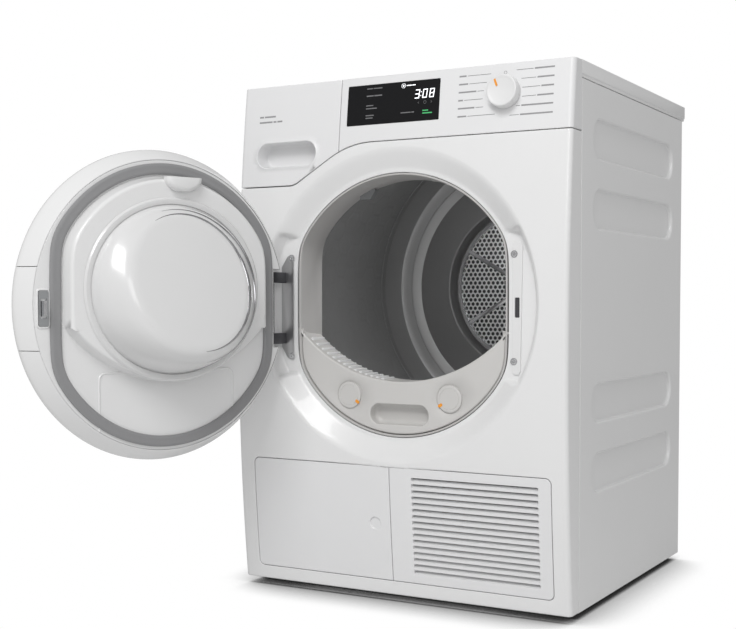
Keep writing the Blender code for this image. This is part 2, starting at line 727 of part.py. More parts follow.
def motor():
    """Motor and mount, with the post that the belt tensioner swings on."""
    profile = [
        (0.0, 0.0), (0.030, 0.0), (0.048, 0.010), (0.050, 0.012),
        (0.050, 0.128), (0.030, 0.140), (0.0, 0.140),
    ]
    body = turned("motor", profile, (MOTOR_X, MOTOR_Z), "y", 24, DARK)
    join(body, box("bracket", (MOTOR_X - 0.045, MOTOR_X + 0.045), (0.020, 0.120), (TRAY_TOP, 0.0900)))
    p, q = TENSIONER_PIVOT
    front, back = BELT_Y + 0.0160, BELT_Y + 0.0250
    join(body, box("arm_foot", (p - 0.012, MOTOR_X), (front, back), (TRAY_TOP, 0.0400)))
    join(body, box("rail", (MOTOR_X - 0.030, MOTOR_X), (back - 0.004, 0.030), (TRAY_TOP, 0.0400)))
    join(body, box("post", (p - 0.012, p + 0.012), (front, back), (TRAY_TOP + 0.0007, q)))
    join(body, prism("pivot", circle(p, q, 0.0060, 16), BELT_Y + 0.0133, back - 0.002))
    smooth(body)
    return body


def motor_pulley():
    y0, y1 = BELT_Y - 0.008, -0.0010
    profile = [
        (0.0, y0), (0.0150, y0), (0.0150, y0 + 0.002), (PULLEY_RADIUS, y0 + 0.003),
        (PULLEY_RADIUS, BELT_Y + 0.005), (0.0150, BELT_Y + 0.006), (0.0150, BELT_Y + 0.008),
        (0.006, BELT_Y + 0.008), (0.006, y1), (0.0, y1),
    ]
    pulley = turned("motor_pulley", profile, (MOTOR_X, MOTOR_Z), "y", 20, STEEL)
    smooth(pulley)
    return pulley


def drive_belt():
    near, far = BELT_Y - BELT_WIDTH / 2, BELT_Y + BELT_WIDTH / 2
    belt = prism("drive_belt", belt_outline(0.0030), near, far, "y", BLACK)
    return cut(belt, prism("in", belt_outline(0.0012), near - 0.01, far + 0.01))


def fan_wheel():
    """The blower on the motor's other end: a back plate and curved blades."""
    profile = [
        (0.0, 0.1500), (0.060, 0.1500), (0.060, 0.1520), (0.010, 0.1520), (0.010, 0.1900), (0.0, 0.1900),
    ]
    wheel = turned("fan_wheel", profile, (MOTOR_X, MOTOR_Z), "y", 24, DARK)
    for i in range(FAN_BLADES):
        angle = 2 * pi * i / FAN_BLADES
        inner = (MOTOR_X + 0.036 * cos(angle), MOTOR_Z + 0.036 * sin(angle))
        outer = (MOTOR_X + 0.058 * cos(angle + 0.35), MOTOR_Z + 0.058 * sin(angle + 0.35))
        join(wheel, prism("blade", strip(inner, outer, 0.0008), 0.1515, 0.1900))
    return wheel


def fan_housing():
    outer = circle(MOTOR_X, MOTOR_Z, 0.0720, 28)
    housing = prism("fan_housing", outer, 0.1430, 0.2000, "y", DARK)
    cut(housing, prism("in", circle(MOTOR_X, MOTOR_Z, 0.0690, 28), 0.1455, 0.1975))
    cut(housing, prism("shaft", circle(MOTOR_X, MOTOR_Z, 0.0150, 16), 0.13, 0.1500))
    cut(housing, prism("inlet", circle(MOTOR_X, MOTOR_Z, 0.0400, 24), 0.19, 0.21))
    outlet = (MOTOR_X - 0.10, MOTOR_X - 0.03), (0.1480, 0.1950), (MOTOR_Z + 0.010, MOTOR_Z + 0.050)
    return cut(housing, box("outlet", *outlet))


def tensioner_roller():
    near, far = BELT_Y - 0.0070, BELT_Y + 0.0070
    ring = [(0.0040, near), (0.0160, near), (0.0160, far), (0.0040, far)]
    roller = turned("tensioner_roller", ring, TENSIONER, "y", 20, DARK)
    smooth(roller)
    return roller


def tensioner_arm():
    """The arm that presses the roller on the belt, with the roller's axle."""
    front, back = BELT_Y + 0.0090, BELT_Y + 0.0130
    arm = prism("tensioner_arm", strip(TENSIONER_PIVOT, TENSIONER, 0.0080), front, back, "y", STEEL)
    join(arm, prism("eye", circle(*TENSIONER_PIVOT, 0.0120, 16), front, back))
    join(arm, prism("end", circle(*TENSIONER, 0.0100, 16), front, back))
    return join(arm, prism("axle", circle(*TENSIONER, 0.0035, 12), BELT_Y - 0.0090, front + 0.0010))


def compressor():
    profile = [
        (0.0, 0.0240), (0.042, 0.0260), (0.0500, 0.0400), (0.0500, 0.1500), (0.038, 0.1800), (0.0, 0.1900),
    ]
    can = turned("compressor", profile, (0.1150, -0.1300), "z", 28, BLACK)
    join(can, box("feet", (0.0500, 0.1800), (-0.1950, -0.0650), (TRAY_TOP, 0.0260)))
    smooth(can)
    return can


def heat_exchangers():
    """Two finned blocks, one behind the other: the evaporator dries the air, the condenser heats it."""
    blocks = (("evaporator", (-0.1950, -0.0800), ALUMINIUM), ("condenser", (-0.0250, 0.0900), COPPER))
    for name, y, look in blocks:
        block = box(name, (-0.2350, -0.0100), y, (TRAY_TOP, 0.2050), look)
        for i in range(9):
            x = -0.2290 + 0.0240 * i
            cut(block, box("fin_gap", (x, x + 0.0190), (y[0] - 0.01, y[1] + 0.01), (0.0300, 0.1950)))


def plinth_filter():
    frame = box("plinth_filter", (-0.2300, -0.0200), (-0.2200, -0.2000), (0.0350, 0.2050), FOAM)
    return cut(frame, box("pull", (-0.1500, -0.1000), (-0.23, -0.2120), (0.1100, 0.1300)))


def mains_inlet():
    inlet = box("mains_inlet", (-0.2600, -0.2100), (BACK_Y + GAP, 0.3120), (0.7600, 0.7900), BLACK)
    return cut(inlet, box("socket", (-0.2540, -0.2160), (0.3030, 0.33), (0.7660, 0.7840)))


# ---------------------------------------------------------------- door, modelled closed


def door_outer_shell():
    """The domed white disc with its rolled edge, notched where the hinge stands."""
    outer = [
        (0.0, -0.3160), (0.1000, -0.3153), (0.1700, -0.3134), (0.2120, -0.3104), (0.2310, -0.3060),
        (0.2376, -0.3010), (DOOR_RADIUS, -0.2963), (0.2360, -0.2910), (0.2230, PANEL_Y),
    ]
    inner = [
        (0.2208, PANEL_Y), (0.2332, -0.2915), (0.2352, -0.2966), (0.2290, -0.3030), (0.2100, -0.3078),
        (0.1690, -0.3108), (0.1000, -0.3127), (0.0, -0.3134),
    ]
    shell = turned("door_outer_shell", outer + inner, (0, DOOR_Z), "y", 48)
    cut(shell, box("notch", (-0.2600, -0.2000), (-0.3200, -0.2500), (0.4120, 0.5390)))
    smooth(shell)
    return shell


def door_inner_panel():
    """The plate inside the door, with the raised upper part that stands in the drum's mouth."""
    panel = prism("door_inner_panel", circle(0, DOOR_Z, 0.2200, 48), PANEL_Y - 0.0025, PANEL_Y)
    raised = split_cut_circle(0.1945, 0.1750, 0.2244, 0.5924, False, DOOR_Z)
    hollow = split_cut_circle(0.1920, 0.1725, 0.2219, 0.5924, False, DOOR_Z)
    join(panel, prism("raised", raised, PANEL_Y - 0.001, RAISED_Y))
    cut(panel, prism("hollow", hollow, -0.28, RAISED_Y - 0.0025))
    cut(panel, box("notch", (-0.2600, -0.1992), (-0.28, -0.25), (0.4120, 0.5390)))
    smooth(panel)
    return panel


def bulge_ring(radius_x, radius_z, z, y, lean):
    """An oval ring; lean tips it, so that its lower side reaches further into the drum."""
    points = []
    for i in range(BULGE_STEPS):
        angle = 2 * pi * i / BULGE_STEPS
        u, v = radius_x * cos(angle), radius_z * sin(angle)
        points.append((u, y - lean * v, z + v))
    return points


def door_bulge():
    """The slanted dome that keeps laundry off the door; a shell, open towards the outer disc."""
    foot = RAISED_Y + GAP
    outer = [
        bulge_ring(0.1410, 0.1270, 0.5050, foot, 0), bulge_ring(0.1390, 0.1255, 0.5055, -0.2390, 0.02),
        bulge_ring(0.1270, 0.1190, 0.5080, -0.2170, 0.14), bulge_ring(0.1110, 0.1100, 0.5120, -0.2010, 0.27),
        bulge_ring(0.0940, 0.0980, 0.5170, -0.1950, 0.30),
    ]
    inner = [
        bulge_ring(0.0930, 0.0970, 0.5170, -0.1975, 0.30), bulge_ring(0.1090, 0.1080, 0.5120, -0.2035, 0.27),
        bulge_ring(0.1246, 0.1168, 0.5080, -0.2186, 0.14), bulge_ring(0.1365, 0.1230, 0.5055, -0.2392, 0.02),
        bulge_ring(0.1385, 0.1245, 0.5050, foot, 0),
    ]
    rings = outer + inner
    starts = [k * BULGE_STEPS for k in range(len(rings))]
    bands = [pair for pair in zip(starts, starts[1:] + starts[:1]) if pair[0] != starts[len(outer) - 1]]
    faces = []
    for near, far in bands:
        for i in range(BULGE_STEPS):
            j = (i + 1) % BULGE_STEPS
            faces.append((near + i, near + j, far + j, far + i))
    tip_out, tip_in = starts[len(outer) - 1], starts[len(outer)]
    faces.append(tuple(range(tip_out, tip_out + BULGE_STEPS)))
    faces.append(tuple(range(tip_in + BULGE_STEPS - 1, tip_in - 1, -1)))
    bulge = make("door_bulge", [point for ring in rings for point in ring], faces, PALE)
    smooth(bulge)
    return bulge


def door_seal():
    seal = prism("door_seal", cut_circle(*SEAL_OUTER, DOOR_Z), PANEL_Y + GAP, SEAL_Y, "y", RUBBER)
    cut(seal, prism("in", cut_circle(*SEAL_INNER, DOOR_Z), -0.28, -0.25))
    smooth(seal)
    return seal


def hinge_arm():
    """Knuckle on the pin and the leaf that is screwed inside the door."""
    arm = prism("hinge_arm", circle(HINGE_X, HINGE_Y, 0.0075, 16), 0.4340, 0.5170, "z", STEEL)
    join(arm, box("leaf", (HINGE_X, -0.1650), (HINGE_Y, HINGE_Y + 0.0070), (0.4400, 0.5110)))
    return cut(arm, prism("bore", circle(HINGE_X, HINGE_Y, 0.0033, 12), 0.42, 0.53, "z"))


def latch_housing():
    outline = rounded(0.1980, 0.2130, 0.4520, 0.5020, 0.0020, 2)
    housing = prism("latch_housing", outline, PANEL_Y + GAP, -0.2642, "y", ZINC)
    return cut(housing, box("slot", (0.2010, 0.2100), (-0.27, -0.25), (0.4630, 0.4910)))


def latch_hook():
    """The bolt that snaps behind the strike; its nose points to the door's edge."""
    outline = [
        (0.2070, -0.2660), (0.2092, -0.2660), (0.2092, -0.2560), (0.2098, -0.2545),
        (0.2092, -0.2500), (0.2080, -0.2490), (0.2070, -0.2500),
    ]
    return prism("latch_hook", outline, 0.4660, 0.4880, "z", STEEL)


def build_door():
    builders = (
        door_outer_shell, door_inner_panel, door_bulge, door_seal, hinge_arm, latch_housing, latch_hook,
    )
    pivot = hang("door_axis", (HINGE_X, HINGE_Y, 0), *[builder() for builder in builders])
    pivot.rotation_euler = (0, 0, DOOR_OPEN)


def build_cabinet():
    base_tray()
    feet()
    side_panel("side_panel_left", -1)
    side_panel("side_panel_right", 1)
    back_panel()
    rear_duct_cover()
    lid()
    front_panel()
    hang("flap_axis", (FLAP_HINGE[0], FLAP_HINGE[1], 0), service_flap())
    grille_panel()
    mains_inlet()


def build_controls():
    control_fascia()
    display_window()
    control_board()
    selector_knob()
    drawer_front()
    condensate_container()


def build_opening():
    front_bulkhead()
    drum_lamp()
    filter_front()
    filter_cassette()
    for side, x in (("left", -LOCK_X), ("right", LOCK_X)):
        hang(f"lock_axis_{side}", (x, 0, LOCK_Z), filter_lock(f"filter_lock_{side}", x))
    hinge_bracket()
    strike_plate()
    door_lock()
    screws()


def build_drum():
    axis = (0, 0, DRUM_Z)
    hang("drum_axis", axis, drum_shell(), drum_rear_wall(), drum_air_grille(), *drum_lifters())
    drum_front_seal()
    rear_bulkhead()
    drum_bearing()


def build_drive():
    motor()
    hang("motor_axis", (MOTOR_X, 0, MOTOR_Z), motor_pulley(), fan_wheel())
    drive_belt()
    fan_housing()
    hang("tensioner_axis", (TENSIONER_PIVOT[0], BELT_Y, TENSIONER_PIVOT[1]), tensioner_arm())
    hang("roller_axis", (TENSIONER[0], BELT_Y, TENSIONER[1]), tensioner_roller())
    compressor()
    heat_exchangers()
    plinth_filter()


clear_scene()
build_cabinet()
build_controls()
build_opening()
build_drum()
build_drive()
build_door()
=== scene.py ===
"""The looks of a front-loading heat-pump clothes dryer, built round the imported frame.

Metres, in the frame's own axes: +X to the right of someone facing the dryer, +Y into it, +Z up.
Most covers are drawn flat, as (u, v, w): u across, v up and w the depth behind the face. A place
function then bends them to the cabinet's shape. Door pieces are drawn closed and swung open.
"""

from math import asin, atan2, copysign, cos, pi, radians, sin, sqrt, tan

import bmesh
import bpy
from mathutils import Matrix, Vector

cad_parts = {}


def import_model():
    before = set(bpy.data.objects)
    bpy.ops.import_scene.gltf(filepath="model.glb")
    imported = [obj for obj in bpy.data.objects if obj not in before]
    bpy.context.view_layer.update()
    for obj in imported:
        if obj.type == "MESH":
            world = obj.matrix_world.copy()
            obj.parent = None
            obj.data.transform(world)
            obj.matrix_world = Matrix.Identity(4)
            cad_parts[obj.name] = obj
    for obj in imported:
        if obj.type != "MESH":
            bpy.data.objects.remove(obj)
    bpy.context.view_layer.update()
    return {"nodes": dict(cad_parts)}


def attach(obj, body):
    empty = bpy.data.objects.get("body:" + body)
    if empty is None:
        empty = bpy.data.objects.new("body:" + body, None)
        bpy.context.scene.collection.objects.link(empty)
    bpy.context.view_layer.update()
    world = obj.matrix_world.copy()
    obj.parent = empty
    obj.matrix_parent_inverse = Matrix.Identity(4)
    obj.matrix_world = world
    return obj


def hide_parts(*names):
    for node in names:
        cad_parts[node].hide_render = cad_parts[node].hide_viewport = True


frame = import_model()

# Cabinet
HALF_WIDTH = 0.298
HEIGHT = 0.85
SKIRT_Z = 0.012
SEAM_Y = -0.2325  # the front covers' side flanges end here
BACK_Y = 0.3
REAR_Y = 0.319
LID_Z = 0.8235
FRONT_Y = -0.288  # foremost point of the front's shallow arc
FRONT_MID_Z = 0.42
FRONT_RADIUS = 3.37
CORNER = 0.008  # rounding of the cabinet's upright front edges
CORNER_ARC = CORNER * pi / 2
FLAT = HALF_WIDTH - CORNER
FLANGE = 0.045
WRAP = FLAT + CORNER_ARC + FLANGE  # half the unrolled width of the front
SHEET = 0.0012

# Seams of the control zone: a level run, an arc, a slope and a level run
SEAM_TOP_Z = 0.7437
SEAM_LOW_Z = 0.6797
SEAM_BEND = (-0.0851, 0.146)  # place along x and radius
SEAM_FOOT = (-0.1888, 0.035)
SEAM_GAP = 0.001
DRAWER_X = -0.104
DISPLAY = (-0.091, 0.0762, 0.7706, 0.8358)  # left, right, bottom and top
KNOB = (0.188, 0.8035)
KNOB_HEIGHT = 0.0175

# Loading opening
OPENING_Z = 0.48
OPENING = (0.213, 0.1925)  # radius and half-width of a circle cut off at both sides
DISH_RADIUS = 0.25
DISH_FLOOR_RADIUS = 0.219
DISH_PAD_RADIUS = 0.2385  # level pads beside the opening, under the hinge and the strike plate
DISH_PAD_END = 0.128  # distance above and below the middle where the pads have run out
DISH_PAD_FADE = 0.01
DISH_Y = -0.261

# Lower front
LOWER = (-0.2672, 0.2717, 0.0345, 0.2225)  # left, right, bottom and top of the two covers
LOWER_SPLIT = -0.0055
COVER_GAP = 0.001
SLATS = [0.051 + 0.01 * i for i in range(16)]  # lower edges of the gaps in the air inlet
WELLS = (0.7385, 0.63, 0.3275, 0.218)  # heights of the recesses pressed into the sides

# Drum
DRUM_Z = 0.5145
DRUM_RADIUS = 0.2858
DRUM_BORE = 0.285
CELLS_AROUND = 42
CELL_GROOVE = 0.0034
CELL_HEIGHT = 0.0011
GRILLE_Y = 0.2735

# Door, closed
HINGE = Vector((-0.2193, -0.3031, 0.0))
DOOR_OPEN = radians(-109.5)
DOOR_Z = 0.4808
DOOR_RADIUS = 0.2381
PANEL_Y = -0.2665
RAISED_Y = -0.2455
NOTCH = (0.412, 0.539)  # the hinge's gap in the door, bottom and top

# Lint filter
FILTER_Y = (-0.2585, -0.206)
FILTER_ARC = (0.256, 0.6135)  # radius and height of the centre of the crescent's upper edge
LOCK_X = 0.0915
LOCK_Z = 0.333
LOCK_RADIUS = 0.0215

MARK = 0.00012  # printed marks stand this far off their surface


# ---------------------------------------------------------------- materials


def material(name, colour, roughness, metallic=0.0, grain=(900, 0.02), mottle=0.015, **sockets):
    """A Principled surface with fine grain in its relief, and a little drift in colour and gloss."""
    made = bpy.data.materials.new(name)
    made.use_nodes = True
    nodes, links = made.node_tree.nodes, made.node_tree.links
    shader = nodes["Principled BSDF"]
    shader.inputs["Metallic"].default_value = metallic
    for socket, value in sockets.items():
        shader.inputs[socket.replace("_", " ")].default_value = value
    place = nodes.new("ShaderNodeTexCoord")
    drift = nodes.new("ShaderNodeTexNoise")
    drift.inputs["Scale"].default_value = 9
    drift.inputs["Detail"].default_value = 3
    links.new(place.outputs["Object"], drift.inputs["Vector"])
    tint = nodes.new("ShaderNodeMix")
    tint.data_type = "RGBA"
    tint.inputs["A"].default_value = (*(c * (1 - mottle) for c in colour), 1)
    tint.inputs["B"].default_value = (*(min(1, c * (1 + mottle)) for c in colour), 1)
    links.new(drift.outputs["Fac"], tint.inputs["Factor"])
    links.new(tint.outputs["Result"], shader.inputs["Base Color"])
    gloss = nodes.new("ShaderNodeMapRange")
    gloss.inputs["To Min"].default_value = roughness * 0.92
    gloss.inputs["To Max"].default_value = min(1, roughness * 1.08)
    links.new(drift.outputs["Fac"], gloss.inputs["Value"])
    links.new(gloss.outputs["Result"], shader.inputs["Roughness"])
    fine = nodes.new("ShaderNodeTexNoise")
    fine.inputs["Scale"].default_value = grain[0]
    fine.inputs["Detail"].default_value = 2
    links.new(place.outputs["Object"], fine.inputs["Vector"])
    relief = nodes.new("ShaderNodeBump")
    relief.inputs["Strength"].default_value = grain[1]
    relief.inputs["Distance"].default_value = 0.0003
    links.new(fine.outputs["Fac"], relief.inputs["Height"])
    links.new(relief.outputs["Normal"], shader.inputs["Normal"])
    return made


def brushed(name, colour, roughness, stretch=(40, 900, 900), strength=0.06, metallic=1.0):
    """Metal with fine parallel marks; stretch is how dense they lie along each axis."""
    made = material(name, colour, roughness, metallic=metallic, grain=(1, strength), mottle=0.04)
    nodes, links = made.node_tree.nodes, made.node_tree.links
    scale = nodes.new("ShaderNodeMapping")
    scale.inputs["Scale"].default_value = stretch
    place = next(node for node in nodes if node.type == "TEX_COORD")
    fine = next(n for n in nodes if n.type == "TEX_NOISE" and n.inputs["Scale"].default_value == 1)
    links.new(place.outputs["Object"], scale.inputs["Vector"])
    links.new(scale.outputs["Vector"], fine.inputs["Vector"])
    return made


def glowing(name, colour, strength):
    """A lit mark in the display."""
    made = material(name, colour, 0.4)
    shader = made.node_tree.nodes["Principled BSDF"]
    shader.inputs["Emission Color"].default_value = (*colour, 1)
    shader.inputs["Emission Strength"].default_value = strength
    return made


ENAMEL = material("white enamel", (0.8, 0.8, 0.8), 0.3, grain=(260, 0.05), Coat_Weight=0.25)
FASCIA_WHITE = material("fascia white", (0.78, 0.78, 0.785), 0.36, grain=(700, 0.05))
DOOR_WHITE = material("door white", (0.8, 0.8, 0.8), 0.2, grain=(220, 0.02), Coat_Weight=0.5)
SATIN_WHITE = material("satin white", (0.76, 0.76, 0.76), 0.42, grain=(1100, 0.08))
BULGE_WHITE = material("bulge white", (0.72, 0.72, 0.72), 0.22, grain=(150, 0.01), Coat_Weight=0.3)
WARM_GREY = material("warm grey plastic", (0.6, 0.59, 0.575), 0.42, grain=(1300, 0.1))
COLLAR_GREY = material("collar grey", (0.52, 0.51, 0.5), 0.38, grain=(900, 0.05))
SEAL_GREY = material("seal rubber", (0.27, 0.27, 0.275), 0.7, grain=(1500, 0.14), Sheen_Weight=0.15)
BLACK_RUBBER = material("black rubber", (0.025, 0.025, 0.026), 0.75, grain=(1200, 0.15))
DARK_PLASTIC = material("dark plastic", (0.045, 0.045, 0.05), 0.5, grain=(1000, 0.12))
GLASS_BLACK = material(
    "display window", (0.012, 0.012, 0.013), 0.16, grain=(60, 0.004), Specular_IOR_Level=0.12
)
PRINT_GREY = material("print grey", (0.3, 0.3, 0.305), 0.6)
PRINT_DARK = material("print dark", (0.12, 0.12, 0.125), 0.6)
PRINT_ORANGE = material("print orange", (0.86, 0.33, 0.03), 0.45)
LIT_WHITE = glowing("lit white", (0.95, 0.97, 1.0), 1.0)
LIT_GREY = glowing("lit grey", (0.16, 0.16, 0.165), 0.12)
LIT_GREEN = glowing("lit green", (0.05, 0.35, 0.12), 0.5)
PALE_PLASTIC = material("pale plastic", (0.66, 0.66, 0.67), 0.45, grain=(900, 0.1))
LENS = material("lamp lens", (0.22, 0.225, 0.23), 0.15, grain=(300, 0.05))
FELT = material("felt", (0.2, 0.19, 0.185), 0.95, grain=(2500, 0.6), mottle=0.15)
FOAM = material("filter foam", (0.09, 0.1, 0.105), 0.95, grain=(1500, 0.9), mottle=0.2)
CAST_BLACK = material("black enamel", (0.02, 0.02, 0.022), 0.4, grain=(300, 0.2))
GRILLE_STEEL = brushed("grille steel", (0.9, 0.9, 0.9), 0.38, (200, 200, 200), 0.03)
BRACKET_STEEL = brushed("bracket steel", (0.5, 0.5, 0.505), 0.36, (900, 900, 60), 0.05)
# Painted reflection: chrome for beads whose glints and dark lines stand for the bowl's refraction lines.
REFRACTION_LINES_CHROME = brushed("bowl edge refraction lines", (0.42, 0.42, 0.43), 0.1, (100, 100, 100), 0.01)
DRUM_STEEL = brushed("drum steel", (0.24, 0.24, 0.24), 0.55, (60, 700, 60), 0.05, 0.6)
REAR_STEEL = brushed("rear wall steel", (0.15, 0.15, 0.15), 0.55, (700, 60, 700), 0.05, 0.6)
BRIGHT_STEEL = brushed("bright steel", (0.62, 0.62, 0.63), 0.22, (900, 900, 60), 0.04)
ZINC = brushed("galvanised steel", (0.46, 0.47, 0.48), 0.45, (90, 90, 90), 0.1)
ALUMINIUM = brushed("fin aluminium", (0.66, 0.67, 0.68), 0.32, (40, 40, 900), 0.08)
COPPER = brushed("fin copper", (0.55, 0.36, 0.26), 0.34, (40, 40, 900), 0.08)
MOTOR_METAL = brushed("motor metal", (0.14, 0.14, 0.15), 0.42, (300, 60, 300), 0.1)


# ---------------------------------------------------------------- outlines, as lists of (u, v)


def fillet(points, steps=8):
    """A closed outline of (u, v, radius) with each corner rounded to its radius."""
    outline = []
    count = len(points)
    for i, (u, v, radius) in enumerate(points):
        here = Vector((u, v))
        before = (Vector(points[i - 1][:2]) - here).normalized()
        after = (Vector(points[(i + 1) % count][:2]) - here).normalized()
        if radius == 0:
            outline.append((u, v))
            continue
        half = before.angle(after) / 2
        centre = here + (before + after).normalized() * (radius / sin(half))
        start, end = here + before * (radius / tan(half)), here + after * (radius / tan(half))
        first, last = atan2(*(start - centre).yx), atan2(*(end - centre).yx)
        turn = (last - first + pi) % (2 * pi) - pi
        for k in range(steps + 1):
            angle = first + turn * k / steps
            outline.append((centre.x + radius * cos(angle), centre.y + radius * sin(angle)))
    return outline


def rectangle(u0, u1, v0, v1, radius=0.0, steps=6):
    corners = [(u0, v0, radius), (u1, v0, radius), (u1, v1, radius), (u0, v1, radius)]
    return fillet(corners, steps)


def circle(u, v, radius, steps=64):
    turns = [2 * pi * i / steps for i in range(steps)]
    return [(u + radius * cos(turn), v + radius * sin(turn)) for turn in turns]


def reach(turn, radius, half_width):
    """How far a circle that is cut off at both sides, with soft corners, lies from its centre."""
    straight = half_width / max(1e-6, abs(cos(turn)))
    return (radius**-40 + straight**-40) ** (-1 / 40)


def cut_circle(radius, half_width, v=OPENING_Z, steps=160):
    """A circle cut off by two upright lines, one point for each even step of angle."""
    points = []
    for i in range(steps):
        turn = 2 * pi * i / steps
        out = reach(turn, radius, half_width)
        points.append((out * cos(turn), v + out * sin(turn)))
    return points


def crescent(radius, half_width, arc_radius, v=OPENING_Z, lower=True, arc_v=FILTER_ARC[1], steps=48):
    """The part of a cut-off circle below, or above, an arc that hangs from a higher centre."""
    half_span = atan2(half_width, sqrt(arc_radius**2 - half_width**2))
    end_v = arc_v - sqrt(arc_radius**2 - half_width**2)
    slope = atan2(v - end_v, half_width)
    arc = []
    for i in range(steps + 1):
        turn = -pi / 2 + half_span - 2 * half_span * i / steps
        arc.append((arc_radius * sin(turn + pi / 2), arc_v + arc_radius * sin(turn)))
    start, end = (pi + slope, 2 * pi - slope) if lower else (-slope, pi + slope)
    bow = []
    for i in range(steps + 1):
        turn = start + (end - start) * i / steps
        out = reach(turn, radius, half_width)
        bow.append((out * cos(turn), v + out * sin(turn)))
    return bow + (arc if lower else arc[::-1])


def offset(outline, grow):
    """A counter-clockwise outline with each edge moved outwards by grow."""
    moved = []
    count = len(outline)
    for i, (u, v) in enumerate(outline):
        before, after = outline[i - 1], outline[(i + 1) % count]
        a = Vector((v - before[1], before[0] - u)).normalized()
        b = Vector((after[1] - v, u - after[0])).normalized()
        shift = (a + b) * (grow / max(0.3, 1 + a.dot(b)))
        moved.append((u + shift.x, v + shift.y))
    return moved


def rim(outline, profile):
    """Loops of (u, v, w), one for each (grow, depth) of the profile."""
    return [[(u, v, depth) for u, v in offset(outline, grow)] for grow, depth in profile]


def edge(radius, depth, outer=True, steps=4):
    """Profile of a rounded edge that runs from the face back to depth; a hole's is not outer."""
    sign = -1 if outer else 1
    turns = [pi / 2 * i / steps for i in range(steps + 1)]
    arc = [(sign * radius * (1 - sin(turn)), radius * (1 - cos(turn))) for turn in turns]
    return arc + [(0, depth)]


def pocket(outline, radius, depth, floor_radius):
    """Loops of a recess with a rounded lip and a rounded foot, for cover() to close with a floor."""
    profile = edge(radius, depth - floor_radius, outer=False)
    for i in range(1, 6):
        turn = pi / 2 * i / 5
        profile.append((-floor_radius * (1 - cos(turn)), depth - floor_radius * (1 - sin(turn))))
    return rim(outline, profile)


# ---------------------------------------------------------------- meshes


def finish_mesh(shape, name, look, sharp=35):
    mesh = bpy.data.meshes.new(name)
    shape.to_mesh(mesh)
    shape.free()
    obj = bpy.data.objects.new(name, mesh)
    bpy.context.scene.collection.objects.link(obj)
    mesh.materials.append(look)
    mesh.shade_smooth()
    mesh.set_sharp_from_angle(angle=radians(sharp))
    return obj


def modifier(obj, kind, **settings):
    made = obj.modifiers.new(kind.lower(), kind)
    for name, value in settings.items():
        setattr(made, name, value)
    return made


def bevel(obj, width, segments=3, angle=30):
    modifier(obj, "BEVEL", width=width, segments=segments, limit_method="ANGLE", angle_limit=radians(angle))
    modifier(obj, "WEIGHTED_NORMAL", keep_sharp=True)
    return obj


def cover(name, place, look, outer, holes=(), u_cuts=(), v_cuts=(), sheet=SHEET):
    """A sheet or moulded cover with rounded edges. outer, and each hole, is a list of loops of
    (u, v, w) that starts on the face; a hole is (loops, whether a floor closes its last loop)."""
    shape = bmesh.new()
    borders = []
    for loops, floor in [(outer, False), *holes]:
        rings = [[shape.verts.new(point) for point in loop] for loop in loops]
        for near, far in zip(rings, rings[1:]):
            band(shape, near, far)
        if floor:
            shape.faces.new(rings[-1])
        for a, b in zip(rings[0], rings[0][1:] + rings[0][:1]):
            borders.append(shape.edges.get((a, b)) or shape.edges.new((a, b)))
    bmesh.ops.triangle_fill(shape, use_beauty=True, edges=borders, normal=(0, 0, 1))
    for axis, cuts in ((0, u_cuts), (1, v_cuts)):
        across = Vector((1 - axis, axis, 0))
        for value in cuts:
            everything = shape.verts[:] + shape.edges[:] + shape.faces[:]
            bmesh.ops.bisect_plane(
                shape, geom=everything, dist=1e-6, plane_co=across * value, plane_no=across
            )
    bmesh.ops.remove_doubles(shape, verts=shape.verts[:], dist=2e-6)
    face = max((f for f in shape.faces if all(v.co.z == 0 for v in f.verts)), key=lambda f: f.calc_area())
    u, v, _ = face.calc_center_median()
    outward = Vector(place(u, v, -0.001)) - Vector(place(u, v, 0))
    for vert in shape.verts:
        vert.co = place(*vert.co)
    bmesh.ops.recalc_face_normals(shape, faces=shape.faces[:])
    if face.normal.dot(outward) < 0:
        bmesh.ops.reverse_faces(shape, faces=shape.faces[:])
    obj = finish_mesh(shape, name, look)
    modifier(obj, "SOLIDIFY", thickness=sheet, offset=-1)
    modifier(obj, "WEIGHTED_NORMAL", keep_sharp=True)
    return obj


def band(shape, near, far):
    """Quads between two rings of vertices."""
    count = len(near)
    for i in range(count):
        j = (i + 1) % count
        corners = list(dict.fromkeys((near[i], near[j], far[j], far[i])))
        if len(corners) > 2:
            shape.faces.new(corners)


def loft(name, rings, look, start=False, end=False, closed=False, sharp=35):
    """Skins a list of rings of points. start and end close the first and last ring."""
    shape = bmesh.new()
    made = [[shape.verts.new(point) for point in ring] for ring in rings]
    pairs = list(zip(made, made[1:]))
    if closed:
        pairs.append((made[-1], made[0]))
    for near, far in pairs:
        band(shape, near, far)
    if start:
        shape.faces.new(made[0])
    if end:
        shape.faces.new(made[-1])
    bmesh.ops.recalc_face_normals(shape, faces=shape.faces[:])
    return finish_mesh(shape, name, look, sharp)


def turned(name, profile, look, centre=(0.0, 0.0), steps=96, closed=True):
    """A profile of (radius, y) turned about a level axis; a closed one makes a solid ring."""

    def place(r, along, turn):
        return (centre[0] + r * cos(turn), along, centre[1] + r * sin(turn))

    shape = bmesh.new()
    rings = []
    for radius, along in profile:
        if radius == 0:
            pole = shape.verts.new(place(0, along, 0))
            rings.append([pole] * steps)
            continue
        rings.append([shape.verts.new(place(radius, along, 2 * pi * i / steps)) for i in range(steps)])
    pairs = list(zip(rings, rings[1:]))
    if closed:
        pairs.append((rings[-1], rings[0]))
    for near, far in pairs:
        if near[0] is not near[1] or far[0] is not far[1]:
            band(shape, near, far)
    bmesh.ops.recalc_face_normals(shape, faces=shape.faces[:])
    return finish_mesh(shape, name, look)


